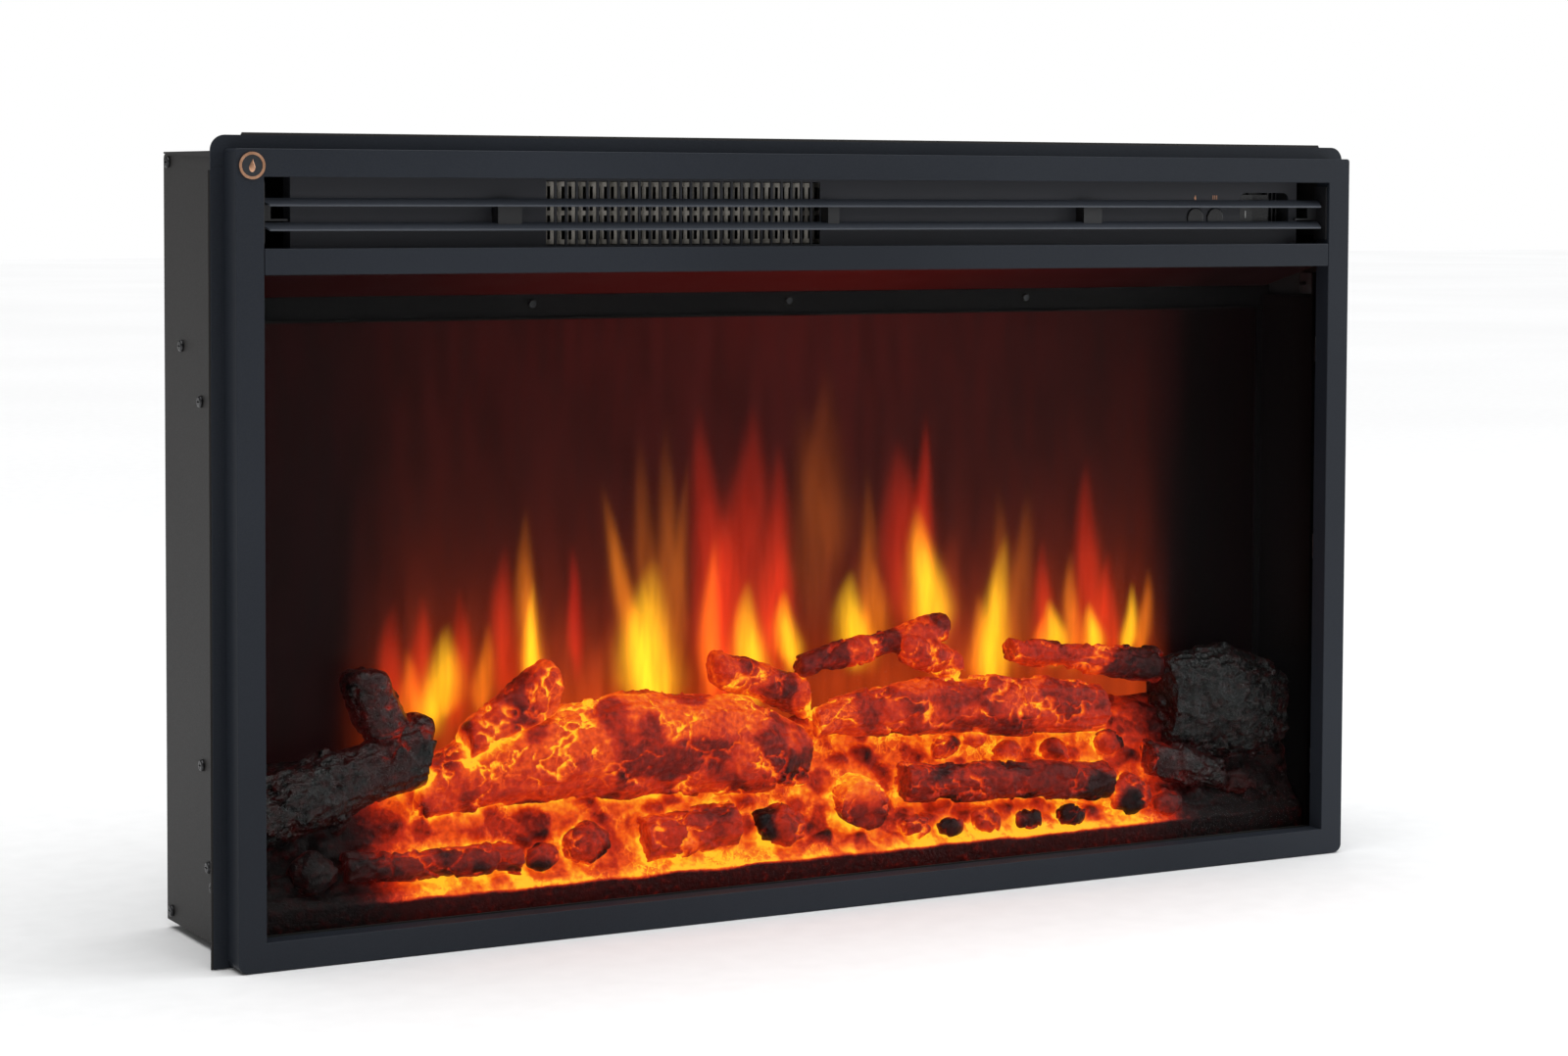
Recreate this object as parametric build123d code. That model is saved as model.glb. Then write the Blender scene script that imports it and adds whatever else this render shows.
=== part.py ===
from build123d import *
import math
import os

# An electric fire that is built into a wall recess: a sheet-steel casing, a trimmed front frame
# with a louvred slot over a glass window, a log set with a flame effect, and a fan heater.
# Millimetres. X runs to the right, Y to the back, Z up. The origin is the middle of the
# casing's base.

# ---------------------------------------------------------------- driving sizes
casing_width = 828.0
casing_height = 496.0
casing_depth = 133.0
sheet = 1.2
bend_radius = 3.5
side_flange = 16.0
top_flange = 11.0
flange_over = 4.0
flange_slant = 6.0
lip = 15.0

frame_lap = 6.0
frame_rise = 1.0
frame_depth = 20.5
frame_drop = 5.0
frame_sheet = 1.5
frame_return = 14.0
stile = 18.0
top_rail = 17.0
bottom_rail = 18.0
lower_corner = 6.0
upper_corner = 2.0
edge_round = 0.6

trim_sheet = 1.0
trim_side = 8.8
trim_rise = 8.4
trim_corner = 9.5
trim_strip_height = 19.4

crossbar_height = 16.0
louvre_height = 43.5
joint_gap = 0.4

glass_thickness = 4.0
glass_side_gap = 0.4
glass_foot_lap = 10.0
glass_head = 7.0
seal_thickness = 1.0
seal_width = 6.0

blade_sheet = 1.2
blade_depth = 10.0
blade_rise = 4.3
blade_spacing = 15.0
blade_first = 10.5
blade_end_slant = 3.5

panel_left_gap = 24.0
panel_right_gap = 14.0
panel_foot = 6.5
panel_head = 4.0
panel_return = 10.8
grille_left = -206.5
grille_right = -4.8
grille_bars = 27
grille_bar = 1.6
grille_margin = 2.0

button_radius = 6.95
button_clearance = 0.3
button_travel = 1.2
button_flange = 1.05
button_height = 25.0
button_spacing = 17.0
button_to_switch = 22.0
stem_radius = 3.0
plunger_radius = 1.7
tact_size = 6.0
tact_height = 3.5
board_gap = 14.8
board_sheet = 1.6
board_length = 93.0

switch_margin = 7.0
switch_low = 19.4
switch_height = 23.2
switch_corner = 5.0
switch_wall = 2.0
switch_depth = 26.8
rocker_length = 24.0
rocker_gap = 3.0
rocker_tilt = 6.0
rib_gap = 5.0
rib_count = 3
rib_pitch = 3.5
rib_width = 1.2
rib_margin = 2.8
pin_radius = 1.5
running_clearance = 0.05

shelf_drop = 6.5
duct_wall = 0.8
duct_floor = 6.0
core_gap = 5.0
core_depth = 12.0
core_bar = 3.0
fin_sheet = 0.3
fin_count = 82

impeller_radius = 21.0
impeller_end_gap = 2.5
impeller_blades = 18
impeller_blade_width = 7.0
blower_back = 36.0
scroll_clearance = 4.0
shaft_radius = 3.0
blower_motor_radius = 20.0
blower_motor_length = 32.0

firebox_depth = 61.5
screen_thickness = 3.0
screen_side = 7.6
rail_drop = 40.8
ceiling_fall = 15.0
wall_gap = 6.6

bed_side_gap = 8.6
bed_front_gap = 0.5
bed_wall = 2.2
mask_gap = 28.0
mask_lap = 14.0
vane_clearance = 3.4
vane_segments = 24
vane_sheet = 0.5
spindle_radius = 2.5
sleeve_wall = 1.5
spindle_height = 105.0
spindle_motor_radius = 16.0
spindle_motor_length = 22.0

screw_radius = 1.5
screw_clearance = 0.2
screw_length = 6.0
head_radius = 3.8
head_height = 2.2
head_roundness = 0.6
recess_half = 2.2
recess_wall = 0.4

badge_radius = 8.3
badge_side = 10.2
badge_drop = 10.3
badge_thickness = 0.6
badge_rim_width = 1.1

fixing_hole_radius = 2.5
fixing_hole_back = 16.5
fixing_hole_low = 150.0
fixing_hole_pitch = 200.0

gland_back = 78.5
gland_height = 40.0
gland_radius = 7.0
gland_flange = 9.5
cable_radius = 3.8

# ---------------------------------------------------------------- places worked out from them
casing_half = casing_width / 2
frame_width = casing_width + 2 * frame_lap
frame_height = frame_drop + casing_height + frame_rise
side_outer = casing_half - sheet
side_inner = side_outer - sheet
flange_outer = casing_half + side_flange
casing_front = -casing_depth / 2
casing_back = casing_depth / 2
flange_back = casing_front + sheet
trim_front = casing_front - trim_sheet
frame_front = trim_front - frame_depth
frame_half = frame_width / 2
frame_bottom = -frame_drop
frame_top = frame_bottom + frame_height
roof = casing_height - sheet
rear_outer = casing_back - sheet
rear_inner = rear_outer - sheet
rear_lip_front = rear_inner - lip

opening_half = frame_half - stile
window_bottom = frame_bottom + bottom_rail
louvre_top = frame_top - top_rail
louvre_bottom = louvre_top - louvre_height
crossbar_bottom = louvre_bottom - crossbar_height
return_back = frame_front + frame_return
glass_front = return_back + seal_thickness
glass_back = glass_front + glass_thickness

panel_left = panel_left_gap - opening_half
panel_right = opening_half - panel_right_gap
panel_front = trim_front - 0.5
panel_back = panel_front + sheet
panel_bottom = louvre_bottom - panel_foot
panel_top = louvre_top + panel_head
shelf_top = panel_bottom
shelf_under = shelf_top - sheet

rib_strip = rib_gap + (rib_count - 1) * rib_pitch + rib_width + rib_margin
switch_right = panel_right - switch_margin
switch_left = switch_right - rocker_gap - rocker_length - rib_strip
heater_button_x = switch_left - button_to_switch
flame_button_x = heater_button_x - button_spacing

screen_front = casing_front + firebox_depth
screen_back = screen_front + screen_thickness
screen_half = side_inner - screen_side
rail_front = screen_front - sheet
rail_bottom = shelf_under - rail_drop
mask_high = rail_bottom + mask_lap
mask_front = screen_back + mask_gap
mask_back = mask_front + sheet
spindle_y = (mask_back + rear_inner) / 2
vane_radius = (rear_inner - mask_back) / 2 - vane_clearance

heater_left = grille_left - grille_margin
heater_right = grille_right + grille_margin
duct_low = shelf_top + duct_floor
duct_high = panel_top - sheet - duct_wall - 2.0
blower_y = rear_inner - blower_back
blower_z = (shelf_top + roof) / 2
scroll_radius = impeller_radius + scroll_clearance

bed_half = side_inner - bed_side_gap
bed_back = rail_front - 1.8
bed_front = flange_back + sheet + bed_front_gap


# ---------------------------------------------------------------- helpers
def block(x0, x1, y0, y1, z0, z1):
    """A box between two opposite corners."""
    middle = Pos((x0 + x1) / 2, (y0 + y1) / 2, (z0 + z1) / 2)
    return middle * Box(abs(x1 - x0), abs(y1 - y0), abs(z1 - z0))


def side_block(side, x0, x1, y0, y1, z0, z1):
    """A box given for the right side, or its mirror image for side -1."""
    return block(side * x0, side * x1, y0, y1, z0, z1)


def rod_x(x0, x1, y, z, radius):
    """A round bar along X."""
    return Pos((x0 + x1) / 2, y, z) * Rot(0, 90, 0) * Cylinder(radius, abs(x1 - x0))


def rod_y(x, y0, y1, z, radius):
    """A round bar along Y."""
    return Pos(x, (y0 + y1) / 2, z) * Rot(90, 0, 0) * Cylinder(radius, abs(y1 - y0))


def rod_z(x, y, z0, z1, radius):
    """A round bar along Z."""
    return Pos(x, y, (z0 + z1) / 2) * Cylinder(radius, abs(z1 - z0))


def prism_x(points, x0, x1):
    """A prism along X over an outline of (y, z) points."""
    face = make_face(Polyline(*points, close=True))
    return extrude(Plane.YZ.offset(x0) * face, x1 - x0)


def prism_y(outline, y0, y1):
    """A prism along Y over a sketch drawn in (x, z)."""
    return extrude(Plane.XZ.offset(-y1) * outline, y1 - y0)


def prism_z(points, z0, z1):
    """A prism along Z over an outline of (x, y) points."""
    face = make_face(Polyline(*points, close=True))
    return extrude(Plane.XY.offset(z0) * face, z1 - z0)


def total(shapes):
    """The shapes as one fused solid."""
    whole = shapes[0]
    for shape in shapes[1:]:
        whole = whole + shape
    return whole


def largest(shape):
    """The largest solid of a shape that a cut may have left slivers on."""
    return max(shape.solids(), key=lambda solid: solid.volume)


def save(name, shape):
    """Write one piece, or a group of separate solids, to its own file."""
    if isinstance(shape, list):
        shape = Compound(children=[solid for piece in shape for solid in piece.solids()])
    export_step(shape, f"parts/{name}.step")


os.makedirs("parts", exist_ok=True)

# ---------------------------------------------------------------- side screws
# Each place is (distance behind the casing's front, height). The ember bed, the flame
# screen's channels, the flame mask, the rear panel and the frame's tabs hang on them.
tab_heights = [107.0, crossbar_bottom - 13.5]
side_screw_places = [
    (fixing_hole_back, tab_heights[0]),
    (fixing_hole_back, tab_heights[1]),
    (44.0, 36.0),
    (52.0, 47.5),
    (firebox_depth + 1.5, 110.5),
    (firebox_depth + 1.5, rail_bottom - 48.5),
    (mask_back - casing_front + 5.0, mask_high - 29.0),
    (rear_inner - casing_front - 7.5, 7.0),
    (rear_inner - casing_front - 7.5, casing_height - 6.6),
]


def side_drill(side, radius):
    """All the screw holes of one side, as bars to cut away."""
    bars = []
    for back, height in side_screw_places:
        bars.append(rod_x(
            side * (side_outer - screw_length), side * side_outer, casing_front + back, height, radius))
    return total(bars)


def pan_screw_x(side, y, z):
    """A pan-head screw whose head seats on the side panel's outer face."""
    shank = rod_x(side * (side_outer - screw_length), side * side_outer, y, z, screw_radius)
    head = rod_x(side * side_outer, side * (side_outer + head_height), y, z, head_radius)
    rim = head.edges().sort_by(Axis.X)[-1 if side > 0 else 0]
    head = fillet(rim, head_height * head_roundness)
    recess_floor = side_outer + head_height / 2
    recess_top = side_outer + head_height
    for half_y, half_z in ((recess_half, recess_wall), (recess_wall, recess_half)):
        head = head - side_block(
            side, recess_floor, recess_top, y - half_y, y + half_y, z - half_z, z + half_z)
    return shank + head


side_threads = {side: side_drill(side, screw_radius) for side in (-1, 1)}
side_holes = {side: side_drill(side, screw_radius + screw_clearance) for side in (-1, 1)}

# ---------------------------------------------------------------- casing
for side, name in ((-1, "left_side_panel"), (1, "right_side_panel")):
    plate = side_block(side, side_inner, side_outer, casing_front, casing_back, 0, roof)
    edges = plate.edges().filter_by(Axis.X)
    corner = edges.sort_by(lambda edge: edge.center().Y + edge.center().Z)[-1]
    plate = fillet(corner, bend_radius)
    flange = side_block(
        side, side_inner, flange_outer, casing_front, flange_back, frame_bottom, louvre_top + flange_over)
    panel = plate + flange - side_holes[side]
    for row in range(2):
        height = fixing_hole_low + row * fixing_hole_pitch
        hole_y = casing_front + fixing_hole_back
        panel = panel - rod_x(side * side_inner, side * side_outer, hole_y, height, fixing_hole_radius)
    if side > 0:
        panel = panel - rod_x(side_inner, side_outer, casing_front + gland_back, gland_height, gland_radius)
    save(name, panel)

rear_screw_columns = [-300.0, 0.0, 300.0]
rear_screw_heights = [lip * 0.6, roof - lip * 0.6]


def rear_drill(radius):
    """The rear screws' holes, as bars to cut away."""
    bars = []
    for x in rear_screw_columns:
        for z in rear_screw_heights:
            bars.append(rod_y(x, casing_back - screw_length, casing_back, z, radius))
    return total(bars)


rear_threads = rear_drill(screw_radius)
rear_holes = rear_drill(screw_radius + screw_clearance)

# The top is one sheet: it turns up into the wall flange, down at the back round a bend, and
# has a tapered lip along each side.
roof_lip_height = 4.0
roof_bend_y = casing_back - bend_radius
roof_bend_z = casing_height - bend_radius
bend = rod_x(-side_inner, side_inner, roof_bend_y, roof_bend_z, bend_radius)
bend = bend - rod_x(-side_inner, side_inner, roof_bend_y, roof_bend_z, bend_radius - sheet)
bend = bend & block(-side_inner, side_inner, roof_bend_y, casing_back, roof_bend_z, casing_height)
roof_plate = block(-casing_half, casing_half, casing_front, roof_bend_y, roof, casing_height)
roof_lip = block(-side_inner, side_inner, rear_outer, casing_back, roof - lip, roof_bend_z)
flange_top = casing_height + top_flange
flange_outline = make_face(Polyline(
    (-casing_half, roof), (casing_half, roof), (casing_half - flange_slant, flange_top),
    (flange_slant - casing_half, flange_top), close=True))
roof_flange = prism_y(flange_outline, casing_front, flange_back)
roof_parts = [roof_plate, bend, roof_lip, roof_flange]
for side in (-1, 1):
    taper = [(flange_back, roof), (roof_bend_y, roof), (flange_back, roof - roof_lip_height)]
    low, high = sorted((side * side_outer, side * casing_half))
    roof_parts.append(prism_x(taper, low, high))
save("top_panel", total(roof_parts) - rear_holes)

base_plate = block(-side_inner, side_inner, flange_back, casing_back, 0, sheet)
base_rear = block(-side_inner, side_inner, rear_outer, casing_back, sheet, lip)
base_front = block(-side_inner, side_inner, flange_back, flange_back + sheet, sheet, window_bottom - 1.0)
base_parts = [base_plate, base_rear, base_front]
for side in (-1, 1):
    base_parts.append(side_block(
        side, side_inner - sheet, side_inner, flange_back, rear_lip_front - 1, sheet, window_bottom - 1.0))
save("bottom_panel", total(base_parts) - rear_holes)

rear_plate = block(-side_inner, side_inner, rear_inner, rear_outer, sheet, roof_bend_z)
rear_parts = [rear_plate]
for side in (-1, 1):
    rear_parts.append(side_block(
        side, side_inner - sheet, side_inner, rear_lip_front, rear_inner, sheet, roof_bend_z))
rear_panel = total(rear_parts) - rear_threads - side_threads[-1] - side_threads[1]
vent_count = 24
vent_pitch = (heater_right - heater_left - 2 * impeller_end_gap) / vent_count
for column in range(vent_count):
    x = heater_left + impeller_end_gap + (column + 0.5) * vent_pitch
    rear_panel = rear_panel - block(x - 1.5, x + 1.5, rear_inner, rear_outer, blower_z - 15, blower_z + 15)
save("rear_panel", rear_panel)

screws = [
    pan_screw_x(side, casing_front + back, height) for side in (-1, 1) for back, height in side_screw_places]
for x in rear_screw_columns:
    for z in rear_screw_heights:
        head = rod_y(x, casing_back, casing_back + head_height, z, head_radius)
        head = fillet(head.edges().sort_by(Axis.Y)[-1], head_height * head_roundness)
        screws.append(head + rod_y(x, casing_back - screw_length, casing_back, z, screw_radius))

# ---------------------------------------------------------------- trim strips
strip_top = frame_top + trim_rise
strip_half = frame_half + trim_side
seam = strip_top - trim_strip_height
strip_sketch = Pos(0, (seam + strip_top) / 2) * Rectangle(2 * strip_half, trim_strip_height)
strip_sketch = fillet(strip_sketch.vertices().group_by(Axis.Y)[-1], trim_corner)
save("top_trim_strip", prism_y(strip_sketch, trim_front, casing_front))
save("side_trim_strips", [
    side_block(side, side_outer, strip_half, trim_front, casing_front, frame_bottom, seam)
    for side in (-1, 1)])

# ---------------------------------------------------------------- front frame
frame_middle = (frame_bottom + frame_top) / 2


def frame_outline(inset):
    """The front frame's outer outline, moved in by an inset."""
    sketch = Pos(0, frame_middle) * Rectangle(frame_width - 2 * inset, frame_height - 2 * inset)
    sketch = fillet(sketch.vertices().group_by(Axis.Y)[0], lower_corner - inset)
    return fillet(sketch.vertices().group_by(Axis.Y)[-1], upper_corner - inset)


def opening_outline(grow):
    """The frame's opening, over window and louvres, grown by the return's sheet."""
    height = louvre_top - window_bottom
    middle = (louvre_top + window_bottom) / 2
    return Pos(0, middle) * Rectangle(2 * (opening_half + grow), height + 2 * grow)


face_ring = prism_y(frame_outline(0) - opening_outline(0), frame_front, frame_front + frame_sheet)
outer_return = prism_y(frame_outline(0) - frame_outline(frame_sheet), frame_front, trim_front)
inner_return = prism_y(opening_outline(frame_sheet) - opening_outline(0), frame_front, return_back)
front_frame = face_ring + outer_return + inner_return
front_frame = fillet(front_frame.edges().group_by(Axis.Y)[0], edge_round)
save("front_frame", front_frame)

bar_half = opening_half - joint_gap
bar_face = block(-bar_half, bar_half, frame_front, frame_front + frame_sheet, crossbar_bottom, louvre_bottom)
bar_face = fillet(bar_face.edges().group_by(Axis.Y)[0].filter_by(Axis.X), edge_round)
crossbar_parts = [bar_face]
bar_back = return_back - 2.0
for low in (crossbar_bottom, louvre_bottom - frame_sheet):
    crossbar_parts.append(block(
        -bar_half, bar_half, frame_front + frame_sheet, bar_back, low, low + frame_sheet))
for side in (-1, 1):
    crossbar_parts.append(side_block(
        side, opening_half - frame_sheet, opening_half, frame_front + frame_sheet, bar_back,
        crossbar_bottom + frame_sheet, louvre_bottom - frame_sheet))
save("crossbar", total(crossbar_parts))

frame_clips = []
tab_half = 7.5
tab_back = casing_front + fixing_hole_back + 6.0
for side in (-1, 1):
    for height in tab_heights:
        tab = side_block(
            side, side_inner - sheet, side_inner, frame_front + frame_sheet, tab_back,
            height - tab_half, height + tab_half)
        frame_clips.append(tab - side_threads[side])

# ---------------------------------------------------------------- window glass
glass_half = side_inner - sheet - glass_side_gap
glass_bottom = window_bottom - glass_foot_lap
glass_top = crossbar_bottom + glass_head
save("glass_panel", block(-glass_half, glass_half, glass_front, glass_back, glass_bottom, glass_top))

seal = block(-glass_half, glass_half, return_back, glass_front, glass_bottom, glass_top)
seal = seal - block(
    seal_width - glass_half, glass_half - seal_width, return_back, glass_front,
    glass_bottom + seal_width, glass_top - seal_width + 2)
save("glass_seal", seal)

clip_half = 9.0
clip_sheet = 0.5
clip_lap = 4.0
window_middle = (window_bottom + crossbar_bottom) / 2
low_clip_x = opening_half - 152.0
for side in (-1, 1):
    for height in (window_bottom + 47.0, window_middle, crossbar_bottom - 60.5):
        frame_clips.append(side_block(
            side, glass_half - clip_lap, frame_half - frame_sheet, glass_back, glass_back + clip_sheet,
            height - clip_half, height + clip_half))
for x in (-low_clip_x, 0.0, low_clip_x):
    frame_clips.append(block(
        x - clip_half, x + clip_half, glass_back, glass_back + clip_sheet,
        frame_bottom + frame_sheet, glass_bottom + clip_lap))
save("frame_clips", frame_clips)

# ---------------------------------------------------------------- louvre blades
blade_front = frame_front + 3.0
blade_back = blade_front + blade_depth
plate_inner = opening_half - sheet


def blade(level):
    """A sloping blade with slanted ends, its front edge at the given height."""
    profile = [
        (blade_front, level), (blade_back, level + blade_rise),
        (blade_back, level + blade_rise + blade_sheet), (blade_front, level + blade_sheet)]
    body = prism_x(profile, -plate_inner, plate_inner)
    for side in (-1, 1):
        wedge = prism_z([
            (side * plate_inner, blade_front), (side * (plate_inner - blade_end_slant), blade_front),
            (side * plate_inner, blade_back - 2)], level - 5, level + 15)
        body = body - wedge
    return body


lower_level = louvre_bottom + blade_first
blade_lower = blade(lower_level)
blade_upper = blade(lower_level + blade_spacing)
save("louvre_blades", [blade_lower, blade_upper])

# Three brackets between the blades reach back to the panel, and one stands at each end.
end_shelf = 20.0
end_ear = 9.0
end_shelf_z = lower_level + blade_rise + blade_sheet + 0.7
end_front = blade_back + 0.5
end_back = return_back + 2.0
brackets = []
for left, right in ((-243.5, -227.0), (-5.0, 3.5), (198.0, 213.0)):
    low = lower_level + 1.0
    high = lower_level + blade_spacing + blade_rise
    face = block(left, right, blade_back - 3.0, blade_back - 1.8, low, high)
    web = block(left, left + sheet, blade_back - 3.0, panel_front, low, high)
    brackets.append(largest(face + web - blade_lower - blade_upper))
for side in (-1, 1):
    plate = side_block(
        side, plate_inner, opening_half, frame_front + 2.5, end_back,
        louvre_bottom + 3, louvre_top - 3)
    shelf = side_block(
        side, opening_half - end_shelf, plate_inner, end_front, end_back,
        end_shelf_z, end_shelf_z + sheet)
    ear = side_block(
        side, opening_half - end_ear, plate_inner, end_front, end_front + sheet,
        end_shelf_z + sheet, lower_level + blade_spacing + 1.0)
    brackets.append(plate + shelf + ear)
save("blade_brackets", brackets)

# ---------------------------------------------------------------- panel behind the louvres
button_z = shelf_top + button_height
switch_bottom = shelf_top + switch_low
switch_top = switch_bottom + switch_height
panel = block(panel_left, panel_right, panel_front, panel_back, panel_bottom, panel_top)
for low in (panel_bottom, panel_top - sheet):
    panel = panel + block(panel_left, panel_right, panel_back, panel_back + panel_return, low, low + sheet)
for left in (panel_left, panel_right - sheet):
    panel = panel + block(left, left + sheet, panel_back, panel_back + panel_return, panel_bottom, panel_top)
grille_pitch = (grille_right - grille_left) / grille_bars
slots = []
for column in range(grille_bars):
    left = grille_left + column * grille_pitch + grille_bar / 2
    slots.append(block(
        left, left + grille_pitch - grille_bar, panel_front, panel_back, duct_low + 1.5, duct_high - 1.5))
panel = panel - Compound(children=slots)
for x in (flame_button_x, heater_button_x):
    panel = panel - rod_y(x, panel_front, panel_back, button_z, button_radius + button_clearance)
pocket = Pos((switch_left + switch_right) / 2, (switch_bottom + switch_top) / 2)
pocket = pocket * Rectangle(switch_right - switch_left, switch_height)
pocket = fillet(pocket.vertices().group_by(Axis.Y)[-1], switch_corner)
panel = panel - prism_y(pocket, panel_front, panel_back)
save("control_panel", panel)

badge_x = -frame_half + badge_side
badge_z = frame_top - badge_drop
badge = rod_y(badge_x, frame_front - badge_thickness, frame_front, badge_z, badge_radius)
rim_front = frame_front - badge_thickness - 0.4
badge_rim = rod_y(badge_x, rim_front, frame_front, badge_z, badge_radius)
badge_rim = badge_rim - rod_y(badge_x, rim_front, frame_front, badge_z, badge_radius - badge_rim_width)
save("badge", badge + badge_rim)

# ---------------------------------------------------------------- push buttons and their switches
board_front = panel_back + board_gap
tact_front = board_front - tact_height
stem_end = tact_front - 4.5
plunger_end = tact_front + 1.5
flange_front = panel_back + 0.3
tact_switches = []
for x, name in ((flame_button_x, "flame_button"), (heater_button_x, "heater_button")):
    cap = rod_y(x, panel_front - 1.0, flange_front, button_z, button_radius)
    cap = fillet(cap.edges().sort_by(Axis.Y)[0], 0.8)
    flange = rod_y(x, flange_front, flange_front + 1.5, button_z, button_radius + button_flange)
    stem = rod_y(x, flange_front + 1.5, stem_end, button_z, stem_radius)
    plunger = rod_y(x, stem_end, plunger_end, button_z, plunger_radius)
    save(name, cap + flange + stem + plunger)
    body = block(
        x - tact_size / 2, x + tact_size / 2, tact_front, board_front,
        button_z - tact_size / 2, button_z + tact_size / 2)
    bore = rod_y(x, tact_front, plunger_end + button_travel + 0.4, button_z, plunger_radius + 0.3)
    tact_switches.append(body - bore)

board_right = switch_left - 5.0
board_left = board_right - board_length
board = block(board_left, board_right, board_front, board_front + board_sheet, shelf_top + 4, panel_top - 4)
board_rear = board_front + board_sheet
relay = block(board_left + 8, board_left + 28, board_rear, board_rear + 15.4, shelf_top + 8, shelf_top + 24)
capacitor = rod_y(board_left + 45, board_rear, board_rear + 20.4, shelf_top + 18, 6.0)
chip = block(board_left + 60, board_left + 74, board_rear, board_rear + 2.4, shelf_top + 14, shelf_top + 24)
save("control_board", total([board, relay, capacitor, chip] + tact_switches))
board_spacers = []
for x in (board_left + 5, board_right - 5):
    for z in (shelf_top + 9, panel_top - 9):
        board_spacers.append(rod_y(x, panel_back, board_front, z, 2.5))

# ---------------------------------------------------------------- main switch
switch_back = panel_back + switch_depth
cavity_back = panel_back + 16.0
rocker_x = switch_left + rocker_gap + rocker_length / 2
rocker_y = panel_back + 9.5
switch_body = block(
    switch_left - switch_wall, switch_right + switch_wall, panel_back, switch_back,
    switch_bottom - switch_wall, switch_top + switch_wall)
switch_body = switch_body - block(
    switch_left, switch_right, panel_back, cavity_back, switch_bottom, switch_top)
for rib in range(rib_count):
    left = rocker_x + rocker_length / 2 + rib_gap + rib_pitch * rib
    switch_body = switch_body + block(
        left, left + rib_width, rocker_y, cavity_back, switch_bottom, switch_top)
for terminal in range(3):
    x = rocker_x - 8 + 8 * terminal
    switch_body = switch_body + block(
        x - 3, x + 3, switch_back, switch_back + 8, button_z + 2, button_z + 2.8)
switch_body = switch_body + rod_z(rocker_x, rocker_y, switch_bottom, switch_top, pin_radius)
save("power_switch_body", switch_body)

half = rocker_length / 2
rocker_outline = [
    (-half, -3.0), (-half, -7.0), (0.0, -5.6), (half, -7.0), (half, -3.0), (4.0, 3.0), (-4.0, 3.0)]
rocker_low = switch_bottom + 1.5
rocker_high = switch_top - 1.5
rocker = prism_z(rocker_outline, rocker_low, rocker_high)
rocker = rocker - rod_z(0, 0, rocker_low, rocker_high, pin_radius + running_clearance)
save("power_rocker", Pos(rocker_x, rocker_y, 0) * Rot(0, 0, -rocker_tilt) * rocker)

# ---------------------------------------------------------------- head shelf
shelf = block(-side_inner, side_inner, casing_front + 0.5, rear_lip_front - 1, shelf_under, shelf_top)
shelf = shelf + block(
    2 * sheet - side_inner, side_inner - 2 * sheet, rear_lip_front - 1, rear_inner, shelf_under, shelf_top)
for side in (-1, 1):
    shelf = shelf + side_block(
        side, side_inner - sheet, side_inner, casing_front + 5, rear_lip_front - 1,
        shelf_top, shelf_top + 12)
save("head_shelf", shelf)

# ---------------------------------------------------------------- heater
duct_back = blower_y - scroll_radius - 3.0
duct = block(
    heater_left - duct_wall, heater_right + duct_wall, panel_back, duct_back,
    duct_low - duct_wall, duct_high + duct_wall)
duct = duct - block(heater_left, heater_right, panel_back, duct_back, duct_low, duct_high)
for x in (heater_left + 20, heater_right - 20):
    duct = duct + block(x - 6, x + 6, duct_back - 30, duct_back - 20, shelf_top, duct_low - duct_wall)
save("heater_duct", duct)

core_front = panel_back + core_gap
core_back = core_front + core_depth
core_middle = (duct_low + duct_high) / 2
core_low = duct_low + 2.0
core_high = duct_high - 2.0
bar_levels = [core_low, core_middle - core_bar / 2, core_high - core_bar]
heater_core = [
    block(heater_left, heater_right, core_front, core_back, level, level + core_bar) for level in bar_levels]


def fin_outline():
    """The outline of a sheet folded to and fro along X, a fixed number of times."""
    pitch = (heater_right - heater_left - 2.0 - fin_sheet) / (fin_count - 1)
    start = heater_left + 1.0
    upper = []
    lower = []
    for fold in range(fin_count - 1):
        left = start + fold * pitch
        right = left + pitch
        if fold % 2 == 0:
            upper += [(left, core_back), (right + fin_sheet, core_back)]
            lower += [
                (left + fin_sheet, core_front), (left + fin_sheet, core_back - fin_sheet),
                (right, core_back - fin_sheet), (right, core_front)]
        else:
            upper += [
                (left + fin_sheet, core_front + fin_sheet), (right, core_front + fin_sheet)]
    last = start + (fin_count - 1) * pitch + fin_sheet
    lower = [(start, core_front)] + lower
    if (fin_count - 1) % 2 == 0:
        upper += [(last, core_back)]
        lower += [(last - fin_sheet, core_front), (last, core_front)]
    else:
        lower += [(last, core_front)]
    return upper + lower[::-1]


fins = fin_outline()
for low, high in zip(bar_levels, bar_levels[1:]):
    heater_core.append(prism_z(fins, low + core_bar, high))
save("heater_core", heater_core)

cutout = rod_z(heater_right - 50, duct_back - 30, duct_high + duct_wall, duct_high + duct_wall + 4, 8.0)
save("thermal_cutout", cutout)

# ---------------------------------------------------------------- blower
plate_thick = 1.2
scroll_plates = []
for left in (heater_left - duct_wall, heater_right + duct_wall - plate_thick):
    plate = block(
        left, left + plate_thick, duct_back, blower_y + scroll_radius + 2,
        shelf_top, blower_z + scroll_radius + 2)
    scroll_plates.append(plate)
scroll = rod_x(heater_left, heater_right, blower_y, blower_z, scroll_radius + duct_wall)
scroll = scroll - rod_x(heater_left, heater_right, blower_y, blower_z, scroll_radius)
scroll = scroll - block(heater_left, heater_right, duct_back - 5, blower_y, duct_low, duct_high)
scroll = scroll - block(
    heater_left, heater_right, blower_y, blower_y + scroll_radius + 5, blower_z - 12, blower_z + 12)
scroll = total([scroll] + scroll_plates)
bush_outer = shaft_radius + 3.0
motor_plate_x = heater_right + duct_wall
bush_plate_x = heater_left - duct_wall
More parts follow.
